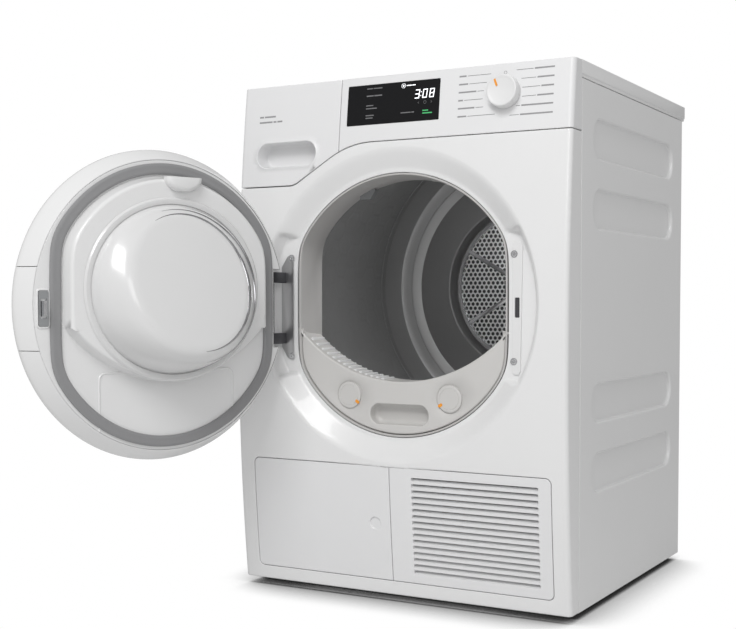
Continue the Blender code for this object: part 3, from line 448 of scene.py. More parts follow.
def prism(name, outline, low, high, look, axis="y", width=0.0):
    """An outline pushed along an axis, with its edges bevelled to width."""
    if axis == "z":
        rings = [[(u, v, w) for u, v in outline] for w in (low, high)]
    else:
        rings = [[(u, w, v) for u, v in outline] for w in (low, high)]
    obj = loft(name, rings, look, start=True, end=True)
    return bevel(obj, width) if width else obj


def tube(name, path, radius, look, sides=8):
    """A round line that follows a path of points in an upright plane that faces along y."""
    rings = []
    for i, point in enumerate(path):
        here = Vector(point)
        ahead = Vector(path[min(i + 1, len(path) - 1)]) - Vector(path[max(i - 1, 0)])
        across = ahead.normalized().cross(Vector((0, 1, 0)))
        ring = []
        for k in range(sides):
            turn = 2 * pi * k / sides
            ring.append(here + across * (radius * cos(turn)) + Vector((0, radius * sin(turn), 0)))
        rings.append(ring)
    return loft(name, rings, look, start=True, end=True, sharp=60)


def block(name, x, y, z, look, width=0.0):
    return prism(name, rectangle(x[0], x[1], z[0], z[1]), y[0], y[1], look, "y", width)


def bake(obj):
    """Applies the modifiers."""
    graph = bpy.context.evaluated_depsgraph_get()
    mesh = bpy.data.meshes.new_from_object(obj.evaluated_get(graph))
    obj.modifiers.clear()
    obj.data = mesh
    return obj


def cut(obj, tool):
    """Takes the tool's shape out of an object, and removes the tool."""
    modifier(obj, "BOOLEAN", operation="DIFFERENCE", object=tool)
    bpy.context.view_layer.update()
    bake(obj)
    bpy.data.objects.remove(tool, do_unlink=True)


def gather(name, objects):
    """Puts several meshes into one object, each as a body of its own."""
    shape = bmesh.new()
    looks = []
    for obj in objects:
        look = obj.data.materials[0]
        if look not in looks:
            looks.append(look)
        before = len(shape.faces)
        shape.from_mesh(obj.data)
        shape.faces.ensure_lookup_table()
        for face in shape.faces[before:]:
            face.material_index = looks.index(look)
        bpy.data.objects.remove(obj, do_unlink=True)
    made = finish_mesh(shape, name, looks[0])
    for look in looks[1:]:
        made.data.materials.append(look)
    return made


def install(obj, body, slot, *nodes):
    """Hangs a piece on its body and hides the frame's nodes that it stands for."""
    if nodes:
        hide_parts(*nodes)
    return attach(obj, body)


# ---------------------------------------------------------------- places


def front_y(z):
    return FRONT_Y + (z - FRONT_MID_Z) ** 2 / (2 * FRONT_RADIUS)


def wrap(u, v, w):
    """Bends a flat (u, v, w) round the cabinet's front: arc, rounded upright edge, side flange."""
    side, past = copysign(1, u), abs(u) - FLAT
    y = front_y(v)
    if past <= 0:
        return (u, y + w, v)
    if past <= CORNER_ARC:
        turn = past / CORNER
        return (side * (FLAT + (CORNER - w) * sin(turn)), y + CORNER - (CORNER - w) * cos(turn), v)
    share = (past - CORNER_ARC) / FLANGE
    start = y + CORNER
    return (side * (HALF_WIDTH - w), start + (SEAM_Y - start) * share, v)


CORNER_CUTS = [side * (FLAT + CORNER_ARC * i / 6) for side in (-1, 1) for i in range(7)]


def levels(low, high, step=0.015):
    count = int((high - low) / step)
    return [low + step * (i + 0.5) for i in range(count)]


def swing(obj):
    """Turns a piece that is drawn with the door closed to where the open door holds it."""
    turn = Matrix.Rotation(DOOR_OPEN, 4, "Z")
    obj.matrix_world = Matrix.Translation(HINGE) @ turn @ Matrix.Translation(-HINGE) @ obj.matrix_world
    return obj


# ---------------------------------------------------------------- cabinet covers


def seam(lift, low_lift=None):
    """The seam under the control zone, from left to right, moved up by lift."""
    low = SEAM_LOW_Z + (lift if low_lift is None else low_lift)
    top = SEAM_TOP_Z + lift
    bends = [(SEAM_FOOT[0], low, SEAM_FOOT[1]), (SEAM_BEND[0], top, SEAM_BEND[1])]
    return fillet([(-WRAP, low, 0), *bends, (WRAP, top, 0)], 16)


def clipped(line, low, high):
    """The stretch of a line of (u, v) between two values of u, ends included."""
    kept = []
    for (u0, v0), (u1, v1) in zip(line, line[1:]):
        for limit in (low, high):
            if u0 < limit < u1:
                kept.append((limit, v0 + (v1 - v0) * (limit - u0) / (u1 - u0)))
        if low < u1 < high:
            kept.append((u1, v1))
    if low <= line[0][0]:
        kept.insert(0, line[0])
    if high >= line[-1][0] and kept[-1] != line[-1]:
        kept.append(line[-1])
    return kept


def blend(start, control, end, steps):
    """Points of a quadratic curve between start and end."""
    points = []
    for i in range(steps + 1):
        t = i / steps
        a, b, c = (1 - t) ** 2, 2 * t * (1 - t), t * t
        points.append(tuple(a * p + b * q + c * r for p, q, r in zip(start, control, end)))
    return points


def dish_loops(steps=240):
    """The round dish: soft lip, cone, flat floor and the rolled edge of the opening."""
    spokes = []
    opening = cut_circle(*OPENING, steps=steps)
    for i in range(steps):
        turn = 2 * pi * i / steps
        c, s = cos(turn), sin(turn)
        pad = min(1.0, max(0.0, (DISH_PAD_END - abs(DISH_RADIUS * s)) / DISH_PAD_FADE))
        floor_radius = DISH_FLOOR_RADIUS + (DISH_PAD_RADIUS - DISH_FLOOR_RADIUS) * pad * pad * (3 - 2 * pad)
        floor = DISH_Y - front_y(OPENING_Z + floor_radius * s)
        lip, foot = (DISH_RADIUS, 0.0), (floor_radius, floor)
        down = tuple(a + (b - a) * 0.3 for a, b in zip(lip, foot))
        up = tuple(b + (a - b) * 0.14 for a, b in zip(lip, foot))
        section = blend((DISH_RADIUS + 0.004, 0.0), lip, down, 5)
        section += blend(up, foot, (floor_radius - 0.003, floor), 4)
        section.insert(0, (DISH_RADIUS + 0.009, 0.0))
        spoke = [(r * c, OPENING_Z + r * s, w) for r, w in section]
        u, v = opening[i]
        for inset, depth in ((0.0016, 0.0), (0.0006, 0.0003), (0.0, 0.0012), (0.0, 0.004)):
            out = Vector((u, v - OPENING_Z)).normalized() * inset
            spoke.append((u + out.x, v + out.y, DISH_Y - front_y(v + out.y) + depth))
        spokes.append(spoke)
    return [list(loop) for loop in zip(*spokes)]


def front_panel():
    top = seam(-SEAM_GAP, -0.0016)
    outline = [(-WRAP, SKIRT_Z), (WRAP, SKIRT_Z), *top[::-1]]
    lower = rectangle(LOWER[0], LOWER[1], LOWER[2], LOWER[3], 0.01)
    holes = [
        (dish_loops(), False),
        (rim(lower, edge(0.0012, 0.011, outer=False)), False),
    ]
    panel = cover(
        "front_panel", wrap, ENAMEL, rim(outline, edge(0.0028, 0.012)), holes,
        CORNER_CUTS, levels(SKIRT_Z, SEAM_TOP_Z, 0.02),
    )
    install(panel, "cabinet", "white_enamel", "front_panel")


def side_panels():
    sides = {
        "right": lambda u, v, w: (HALF_WIDTH - w, u, v),
        "left": lambda u, v, w: (w - HALF_WIDTH, u, v),
    }
    for name, place in sides.items():
        outline = rectangle(SEAM_Y + 0.0006, BACK_Y, SKIRT_Z, LID_Z - 0.0016)
        wells = []
        for middle in WELLS:
            well = rectangle(-0.179, 0.241, middle - 0.0305, middle + 0.0305, 0.0295, 10)
            wells.append((pocket(well, 0.0034, 0.007, 0.0034), True))
        node = f"side_panel_{name}"
        panel = cover(node, place, ENAMEL, rim(outline, edge(0.0014, 0.01)), wells)
        install(panel, "cabinet", "white_enamel", node)


def lid():
    outline = rectangle(-HALF_WIDTH, HALF_WIDTH, SEAM_Y + 0.0006, REAR_Y, 0.003, 4)
    top = prism("top", outline, LID_Z + 0.004, HEIGHT, ENAMEL, "z", 0.0022)
    side = HALF_WIDTH - 0.0012
    step = rectangle(-side, side, SEAM_Y + 0.0018, REAR_Y - 0.0012, 0.003, 4)
    band_below = prism("band", step, LID_Z, LID_Z + 0.006, ENAMEL, "z", 0.0008)
    install(gather("lid", [bake(top), bake(band_below)]), "cabinet", "white_enamel", "lid")


def lower_cover(left, right, left_radius, right_radius):
    """Outline of one of the two covers under the door."""
    low, high = LOWER[2] + COVER_GAP, LOWER[3] - COVER_GAP
    return fillet([
        (left, low, left_radius), (right, low, right_radius),
        (right, high, right_radius), (left, high, left_radius),
    ], 5)


def service_flap():
    outline = lower_cover(LOWER[0] + COVER_GAP, LOWER_SPLIT - COVER_GAP / 2, 0.009, 0.001)
    dot = circle(-0.034, 0.128, 0.0098, 40)
    flap = cover(
        "service_flap", wrap, FASCIA_WHITE, rim(outline, edge(0.001, 0.007)),
        [(pocket(dot, 0.0014, 0.0028, 0.0014), True)], (), levels(LOWER[2], LOWER[3]),
    )
    install(flap, "service_flap", "white_plastic", "service_flap")


def grille_panel():
    outline = lower_cover(LOWER_SPLIT + COVER_GAP / 2, LOWER[1] - COVER_GAP, 0.001, 0.009)
    gaps = []
    for low in SLATS:
        gap = rectangle(0.034, 0.25, low, low + 0.0058, 0.0015, 3)
        gaps.append((rim(gap, edge(0.001, 0.0085, outer=False, steps=3)), False))
    panel = cover(
        "grille_panel", wrap, FASCIA_WHITE, rim(outline, edge(0.001, 0.007)), gaps,
        (), levels(LOWER[2], LOWER[3]), 0.001,
    )
    pieces = [bake(panel)]
    blade = [(-0.0006, 0.0014), (0.0036, 0.008), (0.0028, 0.0086), (-0.0006, 0.003)]
    for low in SLATS:
        ends = [[wrap(u, low + v, w) for v, w in blade] for u in (0.0336, 0.2504)]
        pieces.append(loft("blade", ends, FASCIA_WHITE, start=True, end=True))
    install(gather("grille_panel", pieces), "cabinet", "white_plastic", "grille_panel")


# ---------------------------------------------------------------- control zone


def stamp(name, outlines, look, place=wrap, lift=MARK):
    """Thin printed marks that follow the surface of place."""
    shape = bmesh.new()
    for outline in outlines:
        rings = [[shape.verts.new(place(u, v, w)) for u, v in outline] for w in (-lift, 0.0002)]
        band(shape, *rings)
        shape.faces.new(rings[0])
        shape.faces.new(rings[1][::-1])
    bmesh.ops.recalc_face_normals(shape, faces=shape.faces[:])
    return finish_mesh(shape, name, look)


def stroke(start, end, width):
    """A straight bar between two points, as an outline."""
    along = (Vector(end) - Vector(start)).normalized()
    side = Vector((-along.y, along.x)) * (width / 2)
    a, b = Vector(start), Vector(end)
    return [tuple(p) for p in (a - side, b - side, b + side, a + side)]


def capsule(start, end, width, steps=8):
    """A bar with round ends."""
    a, b = Vector(start), Vector(end)
    heading = atan2(*(b - a).yx)
    points = []
    for centre, first in ((a, heading + pi / 2), (b, heading - pi / 2)):
        for i in range(steps + 1):
            turn = first + pi * i / steps
            points.append((centre.x + width / 2 * cos(turn), centre.y + width / 2 * sin(turn)))
    return points


SEGMENTS = {
    "3": "abcdg",
    "0": "abcdef",
    "8": "abcdefg",
}


def digit(sign, u, v, width, height, line):
    """Seven-segment strokes of a leaning digit whose lower left corner is (u, v)."""
    ends = {
        "a": ((0, 2), (1, 2)), "b": ((1, 1), (1, 2)), "c": ((1, 0), (1, 1)), "d": ((0, 0), (1, 0)),
        "e": ((0, 0), (0, 1)), "f": ((0, 1), (0, 2)), "g": ((0, 1), (1, 1)),
    }
    lean = 0.12
    strokes = []
    for segment in SEGMENTS[sign]:
        points = []
        for across, up in ends[segment]:
            rise = up * height / 2
            points.append((u + across * width + rise * lean, v + rise))
        strokes.append(capsule(*points, line, 3))
    return strokes


def greeked(u, v, widths, height, gap=0.0):
    """Rows of short bars that stand for small print, the first row's left end at (u, v)."""
    bars = []
    for row, words in enumerate(widths):
        start = u
        for word in words:
            low = v - row * gap
            bars.append(rectangle(start, start + word, low, low + height))
            start += word + height * 0.7
    return bars


def display():
    x0, x1, z0, z1 = DISPLAY
    outline = rectangle(x0 + 0.0003, x1 - 0.0003, z0 + 0.0003, z1 - 0.0003, 0.0015, 4)

    def glass(u, v, w):
        return wrap(u, v, w + 0.0003)

    face = rim(outline, edge(0.0004, 0.003))
    window = bake(cover("window", glass, GLASS_BLACK, face, (), (), levels(z0, z1, 0.01)))
    clock = []
    for sign, u in (("3", 0.0325), ("0", 0.046), ("8", 0.0582)):
        clock += digit(sign, u, 0.8076, 0.0066, 0.0128, 0.0014)
    clock += [circle(0.0426, 0.8108, 0.0008, 12), circle(0.0432, 0.817, 0.0008, 12)]
    status = ring_outline(0.011, 0.829, 0.0034, 0.0005) + [circle(0.011, 0.829, 0.0013, 16)]
    status += greeked(0.0165, 0.8284, [[0.009, 0.006]], 0.0013)
    small = greeked(-0.056, 0.8165, [[0.013, 0.014]], 0.0019, 0.003)
    small += greeked(-0.056, 0.801, [[0.013], [0.02]], 0.0016, 0.0048)
    small += greeked(-0.056, 0.785, [[0.015], [0.013]], 0.0016, 0.0042)
    small += greeked(0.008, 0.785, [[0.018, 0.005]], 0.0016)
    small += greeked(-0.056, 0.8285, [[0.011, 0.016]], 0.0016)
    arrows = []
    for back, tip in ((0.04, 0.038), (0.061, 0.063)):
        arrows.append(stroke((back, 0.7985), (tip, 0.8), 0.0005))
        arrows.append(stroke((tip, 0.8), (back, 0.8015), 0.0005))
    arrows += ring_outline(0.0505, 0.8, 0.0022, 0.0005)
    green = greeked(0.047, 0.786, [[0.01], [0.017]], 0.0018, 0.0042)
    marks = [
        stamp("clock", clock, LIT_WHITE, glass), stamp("status", status, LIT_WHITE, glass),
        stamp("small", small, LIT_GREY, glass), stamp("arrows", arrows, LIT_GREY, glass),
        stamp("green", green, LIT_GREEN, glass),
    ]
    install(gather("display_window", [window, *marks]), "cabinet", "display_glass", "display_window")


def ring_outline(u, v, radius, width, steps=24):
    """A thin ring as a list of four-cornered outlines."""
    outer, inner = circle(u, v, radius + width / 2, steps), circle(u, v, radius - width / 2, steps)
    pieces = []
    for i in range(steps):
        j = (i + 1) % steps
        pieces.append([outer[i], outer[j], inner[j], inner[i]])
    return pieces


def programme_marks():
    """Leader lines and bars round the knob, and two lines of bars at the left. They stand for words."""
    lines, bars = [], []
    left = (
        (0.012, 0.1626), (0.0155, 0.156), (0.03, 0.1517),
        (0.008, 0.1505), (0.028, 0.1517), (0.015, 0.172),
    )
    for i, (width, end) in enumerate(left):
        z = 0.8347 - 0.01256 * i
        bars += greeked(0.109, z - 0.0011, [[width]], 0.0024)
        lines.append(stroke((0.111 + width, z), (end, z), 0.0007))
    right = (
        (0.032, 0.2044), (0.027, 0.2131), (0.02, 0.2152),
        (0.026, 0.2152), (0.051, 0.2063), (0.0525, 0.1963),
    )
    for i, (width, start) in enumerate(right):
        z = 0.8369 - 0.01372 * i
        bars += greeked(0.266 - width, z - 0.0011, [[width]], 0.0024)
        if start < 0.264 - width:
            lines.append(stroke((start, z), (0.264 - width, z), 0.0007))
    bars += ring_outline(0.1865, 0.8345, 0.0023, 0.0007)
    bars += greeked(-0.263, 0.796, [[0.008, 0.022]], 0.0027)
    bars += greeked(-0.263, 0.787, [[0.026, 0.006, 0.01]], 0.0027)
    return lines, bars


def control_fascia():
    left = DRAWER_X + 0.0005
    bottom = clipped(seam(0.0), left, WRAP)
    outline = [*bottom, (WRAP, HEIGHT - 0.0012), (left, HEIGHT - 0.0012)]
    x0, x1, z0, z1 = DISPLAY
    window = rectangle(x0, x1, z0, z1, 0.0017, 4)
    holes = [
        (rim(window, edge(0.0006, 0.004, outer=False)), False),
        (rim(circle(*KNOB, 0.006, 24), edge(0.0004, 0.003, outer=False)), False),
    ]
    fascia = cover(
        "fascia", wrap, FASCIA_WHITE, rim(outline, edge(0.0012, 0.01)), holes,
        CORNER_CUTS, levels(SEAM_LOW_Z, HEIGHT), 0.0016,
    )
    lines, bars = programme_marks()
    right_bars = [bar for bar in bars if bar[0][0] > DRAWER_X]
    marks = [stamp("lines", lines, PRINT_DARK), stamp("bars", right_bars, PRINT_GREY)]
    whole = gather("control_fascia", [bake(fascia), *marks])
    install(whole, "cabinet", "white_plastic", "control_fascia")


def drawer_front():
    right = DRAWER_X - 0.0005
    bottom = clipped(seam(0.0), -WRAP, right)
    outline = [*bottom, (right, HEIGHT - 0.0012), (-WRAP, HEIGHT - 0.0012)]
    grip = rectangle(-0.264, -0.148, 0.711, 0.752, 0.02, 10)
    lip = [(0.012, 0.0), (0.0034, 0.0), (0.0024, -0.0009), (0.001, -0.0011), (0.0, -0.0002), (-0.0006, 0.003)]
    lip += [(-0.0012, 0.024), (-0.003, 0.0275), (-0.007, 0.029)]
    front = cover(
        "front", wrap, FASCIA_WHITE, rim(outline, edge(0.0012, 0.01)), [(rim(grip, lip), True)],
        CORNER_CUTS, levels(SEAM_LOW_Z, HEIGHT), 0.0016,
    )
    bars = [bar for bar in programme_marks()[1] if bar[0][0] < DRAWER_X]
    whole = gather("drawer_front", [bake(front), stamp("bars", bars, PRINT_GREY)])
    install(whole, "condensate_drawer", "white_plastic", "drawer_front")


def selector_knob():
    tip, foot = -KNOB_HEIGHT, -0.0006
    profile = [(0.0, tip + 0.0012), (0.019, tip + 0.001), (0.0208, tip + 0.0004), (0.0218, tip)]
    profile += blend((0.0228, tip), (0.0246, tip), (0.0248, tip + 0.0022), 5)
    profile += [(0.025, foot - 0.001), (0.0246, foot), (0.0, foot)]
    knob = turned("knob", profile, SATIN_WHITE, steps=96, closed=False)

    def face(u, v, w):
        return (u, tip + 0.0008 + w, v)

    line = capsule((-0.0118, 0.0178), (-0.0078, 0.0078), 0.003)
    pointer = stamp("pointer", [line], PRINT_ORANGE, face, 0.0006)
    whole = gather("selector_knob", [knob, pointer])
    tilt = atan2(KNOB[1] - FRONT_MID_Z, FRONT_RADIUS)
    place = Matrix.Translation((KNOB[0], front_y(KNOB[1]), KNOB[1])) @ Matrix.Rotation(-tilt, 4, "X")
    whole.data.transform(place)
    install(whole, "selector", "white_satin_plastic", "selector_knob")


# ---------------------------------------------------------------- loading opening


def cut_ring(radius, half_width, y, steps=160):
    return [(u, y, v) for u, v in cut_circle(radius, half_width, steps=steps)]


def front_bulkhead():
    sections = [
        (0.2122, 0.1902, -0.223), (0.2122, 0.1902, -0.256), (0.212, 0.19, -0.2598),
        (0.2112, 0.1892, -0.2606), (0.2098, 0.1878, -0.2606), (0.209, 0.187, -0.2598),
        (0.2087, 0.1862, -0.257), (0.2062, 0.1815, -0.235), (0.205, 0.179, -0.206),
        (0.2056, 0.1796, -0.2038), (0.2068, 0.1808, -0.203), (0.208, 0.182, -0.204),
        (0.2085, 0.1825, -0.223),
    ]
    collar = loft("collar", [cut_ring(*section) for section in sections], COLLAR_GREY, closed=True)
    section = [(0.21, -0.2245), (0.2905, -0.2245), (0.2905, -0.2225), (0.21, -0.2225)]
    plate = turned("plate", section, COLLAR_GREY, (0, DRUM_Z))
    legs = block("legs", (-0.278, 0.278), (-0.2245, -0.2225), (0.221, 0.235), COLLAR_GREY)
    whole = gather("front_bulkhead", [collar, plate, legs])
    install(whole, "cabinet", "pale_plastic", "front_bulkhead")


def lint_filter():
    outline = crescent(0.2075, 0.1855, FILTER_ARC[0])

    def place(u, v, w):
        return (u, FILTER_Y[0] + w, v)

    grip = rectangle(-0.053, 0.053, 0.2875, 0.3205, 0.016, 10)
    holes = [(pocket(grip, 0.0022, 0.02, 0.007), True)]
    for x in (-LOCK_X, LOCK_X):
        holes.append((rim(circle(x, LOCK_Z, 0.0232, 56), [(0.0005, 0.0), (0.0, 0.0006), (0.0, 0.001)]), True))
    front = cover("front", place, WARM_GREY, rim(outline, edge(0.003, 0.05)), holes, (), (), 0.0016)
    bake(front)
    # Ribs on the slope behind the crescent's top edge. They are real, and their white, lighter than the grey
    # filter, is partly a painted highlight.
    ribs = []
    for i in range(14):
        turn = -pi / 2 - asin((0.172 - 0.0105 * i) / FILTER_ARC[0])
        radius = FILTER_ARC[0] - 0.0008
        u, v = radius * cos(turn), FILTER_ARC[1] + radius * sin(turn)
        across, up = (u - 0.0028, u + 0.0028), (v - 0.004, v + 0.0014)
        ribs.append(bake(block("rib", across, (-0.249, -0.212), up, FASCIA_WHITE, 0.0012)))
    install(gather("filter_front", [front, *ribs]), "lint_filter", "warm_grey_plastic", "filter_front")


def filter_locks():
    for name, sign in (("left", -1), ("right", 1)):
        x = sign * LOCK_X
        y = FILTER_Y[0] + 0.0008
        top = y - 0.0032
        profile = [(0.0, top), (0.016, top), (0.0166, y - 0.0026), (0.0172, top), (0.0205, top)]
        profile += [(0.0213, y - 0.0028), (LOCK_RADIUS, y - 0.002), (LOCK_RADIUS, y), (0.0, y)]
        disc = turned("disc", profile, WARM_GREY, (x, LOCK_Z), steps=72, closed=False)

        def face(u, v, w):
            return (u, FILTER_Y[0] - 0.0024 + w, v)

        turn = radians(-34) if sign < 0 else radians(-146)
        spot = [(x + r * cos(turn), LOCK_Z + r * sin(turn)) for r in (0.0172, 0.0204)]
        mark = stamp("mark", [capsule(*spot, 0.005)], PRINT_ORANGE, face, 0.0004)
        node = f"filter_lock_{name}"
        install(gather(node, [disc, mark]), node, "warm_grey_plastic", node)


def strike_plate():
    outline = []
    for u, v in rectangle(0.199, 0.2165, 0.3745, 0.5785, 0.006, 12):
        outline.append((min(u, sqrt(0.235**2 - (v - OPENING_Z) ** 2)), v))
    slot = rectangle(0.2034, 0.2112, 0.4622, 0.4928, 0.0014, 4)

    def place(u, v, w):
        return (u, -0.2632 + w, v)

    holes = [(rim(slot, edge(0.0004, 0.002, outer=False)), False)]
    border = rim(outline, edge(0.0008, 0.0018))
    plate = cover("plate", place, SATIN_WHITE, border, holes, (), (), 0.0004)
    # A thin dark sheet right behind the slot: painted shade for the slot's dark inside.
    inner = rectangle(0.2031, 0.2115, 0.4619, 0.4931)
    dark = prism("dark", inner, -0.2614, -0.2611, DARK_PLASTIC)
    whole = gather("strike_plate", [bake(plate), dark])
    install(whole, "cabinet", "white_plastic", "strike_plate")


def hinge_bracket():
    middle = 0.477
    half = [
        (-0.2225, 0.06), (-0.2225, 0.067), (-0.211, 0.085), (-0.205, 0.088),
        (-0.2, 0.088), (-0.1985, 0.086),
    ]
    points = [(x, middle + z) for x, z in half] + [(x, middle - z) for x, z in reversed(half)]
    plate = prism("plate", points[::-1], -0.2633, -0.2613, BRACKET_STEEL, "y", 0.0006)
    pieces = [bake(plate)]
    radius = 0.0062
    turns = [pi * (1 + i / 10) for i in range(11)]
    nose = [(HINGE.x + radius * cos(turn), HINGE.y + radius * sin(turn)) for turn in turns]
    root = [(HINGE.x + radius, -0.2625), (HINGE.x - 0.002, -0.2625), (HINGE.x - radius, -0.27)]
    for low, high in ((0.4155, 0.4335), (0.5175, 0.5355)):
        lug = prism("lug", root + nose, low, high, MOTOR_METAL, "z", 0.0008)
        pieces.append(bake(lug))
    pieces.append(prism("pin", circle(HINGE.x, HINGE.y, 0.003, 24), 0.413, 0.538, BRIGHT_STEEL, "z"))
    install(gather("hinge_bracket", pieces), "cabinet", "bright_steel", "hinge_bracket")


def screws():
    for side, x, seat in (("hinge", -0.2022, -0.2633), ("strike", 0.2022, -0.263)):
        for name, z in (("lower", 0.395), ("upper", 0.559)):
            profile = [(0.0, seat - 0.0016), (0.0018, seat - 0.0024), (0.0032, seat - 0.0022)]
            profile += [(0.0042, seat - 0.0012), (0.0044, seat - 0.0006), (0.0056, seat - 0.0006)]
            profile += [(0.0058, seat - 0.0003), (0.0, seat - 0.0003)]
            head = turned("head", profile, BRIGHT_STEEL, (x, z), steps=32, closed=False)
            cross = prism("cross", circle(x, z, 0.0018, 6), seat - 0.003, seat - 0.0012, BRIGHT_STEEL)
            cut(head, cross)
            node = f"{side}_screw_{name}"
            head.name = node
            install(head, "cabinet", "bright_steel", node)


# ---------------------------------------------------------------- drum


def emboss(turn, y):
    """Height of the honeycomb relief on the drum's wall: cells with narrow grooves between."""
    pitch = 2 * pi * DRUM_BORE / CELLS_AROUND
    row_gap = pitch * 0.866
    along = (y + 0.19) / row_gap
    s = turn / (2 * pi) * CELLS_AROUND
    distances = []
    for row in (int(along // 1), int(along // 1) + 1):
        shift = 0.5 if row % 2 else 0.0
        nearest = round(s - shift) + shift
        for centre in (nearest - 1, nearest, nearest + 1):
            distances.append(sqrt(((s - centre) * pitch) ** 2 + ((along - row) * row_gap) ** 2))
    first, second = sorted(distances)[:2]
    rise = min(1.0, (second - first) / 2 / CELL_GROOVE)
    return CELL_HEIGHT * rise * rise * (3 - 2 * rise)


def drum_shell(steps=600, rows=120):
    front, back = -0.197, 0.2
    rings = []
    outer = [(0.262, front + 0.004), (0.2624, front + 0.0012), (0.264, front), (0.28, front)]
    outer += blend((0.282, front), (DRUM_RADIUS, front), (DRUM_RADIUS, front + 0.006), 4)
    outer += [(DRUM_RADIUS, back), (DRUM_BORE, back)]
    for radius, y in outer:
        rings.append([(radius, y)] * steps)
    for row in range(rows + 1):
        y = back - 0.002 - (back - front - 0.01) * row / rows
        fade = min(1.0, min(row, rows - row) / 5)
        rings.append([(DRUM_BORE - emboss(2 * pi * i / steps, y) * fade, y) for i in range(steps)])
    for radius, y in ((0.2815, front + 0.001), (0.2645, front + 0.001), (0.2628, front + 0.004)):
        rings.append([(radius, y)] * steps)
    points = []
    for ring in rings:
        turned_ring = []
        for i, (radius, y) in enumerate(ring):
            turn = 2 * pi * i / steps
            turned_ring.append((radius * cos(turn), y, DRUM_Z + radius * sin(turn)))
        points.append(turned_ring)
    shell = loft("drum_shell", points, DRUM_STEEL, closed=True, sharp=50)
    install(shell, "drum", "drum_steel", "drum_shell")


def drum_rear_wall():
    dished = [(0.2839, 0.193), (0.2839, 0.205)]
    dished += blend((0.2839, 0.206), (0.2835, 0.239), (0.245, 0.244), 14)
    dished += [(0.243, 0.2445), (0.2424, 0.2455), (0.2416, 0.245), (0.24, 0.2453), (0.224, 0.2525)]
    rear = [(0.224, 0.2537), (0.242, 0.247), (0.263, 0.24), (0.2849, 0.206), (0.2849, 0.193)]
    bowl = turned("bowl", dished + rear, DRUM_STEEL, (0, DRUM_Z), steps=160)
    flat = [(0.2242, 0.2523), (0.164, 0.2523)]
    flat += blend((0.162, 0.2523), (0.159, 0.2523), (0.1585, 0.256), 4)
    flat += [(0.156, 0.271), (0.153, 0.2752), (0.143, 0.2752), (0.143, 0.2764), (0.1545, 0.2764)]
    flat += [(0.16, 0.256), (0.164, 0.2535), (0.2242, 0.2535)]
    disc = turned("disc", flat, REAR_STEEL, (0, DRUM_Z), steps=160)
    install(gather("drum_rear_wall", [bowl, disc]), "drum", "drum_steel", "drum_rear_wall")


def perforated_sheet(look, pitch=0.0098, hole=0.0037, low=0.045, high=0.145):
    """Hexagonal cells with a round hole in each, kept only where their centres lie between the radii low and
    high.
    """
    shape = bmesh.new()
    side = pitch / sqrt(3)
    count = int(high / pitch) + 2
    for row in range(-count, count + 1):
        for column in range(-count, count + 1):
            u = (column + (0.5 if row % 2 else 0.0)) * pitch
            v = row * side * 1.5
            if not low < sqrt(u * u + v * v) < high:
                continue
            border, inner = [], []
            for k in range(6):
                a = pi / 6 + pi / 3 * k
                corner = Vector((u + side * cos(a), v + side * sin(a)))
                after = Vector((u + side * cos(a + pi / 3), v + side * sin(a + pi / 3)))
                border += [corner, (corner + after) / 2]
                for extra in (0, pi / 6):
                    inner.append((u + hole * cos(a + extra), v + hole * sin(a + extra)))
            near = [shape.verts.new((x, GRILLE_Y, DRUM_Z + z)) for x, z in border]
            far = [shape.verts.new((x, GRILLE_Y, DRUM_Z + z)) for x, z in inner]
            band(shape, near, far)
    bmesh.ops.remove_doubles(shape, verts=shape.verts[:], dist=1e-5)
    bmesh.ops.recalc_face_normals(shape, faces=shape.faces[:])
    sheet = finish_mesh(shape, "sheet", look)
    modifier(sheet, "SOLIDIFY", thickness=0.001, offset=0)
    return bake(sheet)


def drum_air_grille():
    pieces = [perforated_sheet(GRILLE_STEEL)]
    # A thin dark disc behind the holes: painted shade of the air channel behind the grille.
    pieces.append(prism("duct", circle(0, DRUM_Z, 0.142, 64), 0.2795, 0.28, DARK_PLASTIC))
    ring = [
        (0.142, 0.2722), (0.144, 0.2708), (0.15, 0.2708), (0.151, 0.2722), (0.151, 0.2745),
        (0.142, 0.2745),
    ]
    pieces.append(turned("ring", ring, BRIGHT_STEEL, (0, DRUM_Z), steps=128))
    hub = [
        (0.0, 0.264), (0.03, 0.2652), (0.035, 0.2662), (0.044, 0.2715), (0.047, 0.2722),
        (0.047, 0.2745), (0.0, 0.2745),
    ]
    pieces.append(turned("hub", hub, MOTOR_METAL, (0, DRUM_Z), steps=72, closed=False))
    for k in range(6):
        turn = radians(30 + 60 * k)
        bar = rectangle(0.04, 0.145, -0.0042, 0.0042)
        rib = bake(prism("rib", bar, 0.27, 0.2745, BRIGHT_STEEL, "y", 0.0012))
        rib.data.transform(Matrix.Translation((0, 0, DRUM_Z)) @ Matrix.Rotation(turn, 4, "Y"))
        pieces.append(rib)
    install(gather("drum_air_grille", pieces), "drum", "bright_steel", "drum_air_grille")


# ---------------------------------------------------------------- door, drawn closed


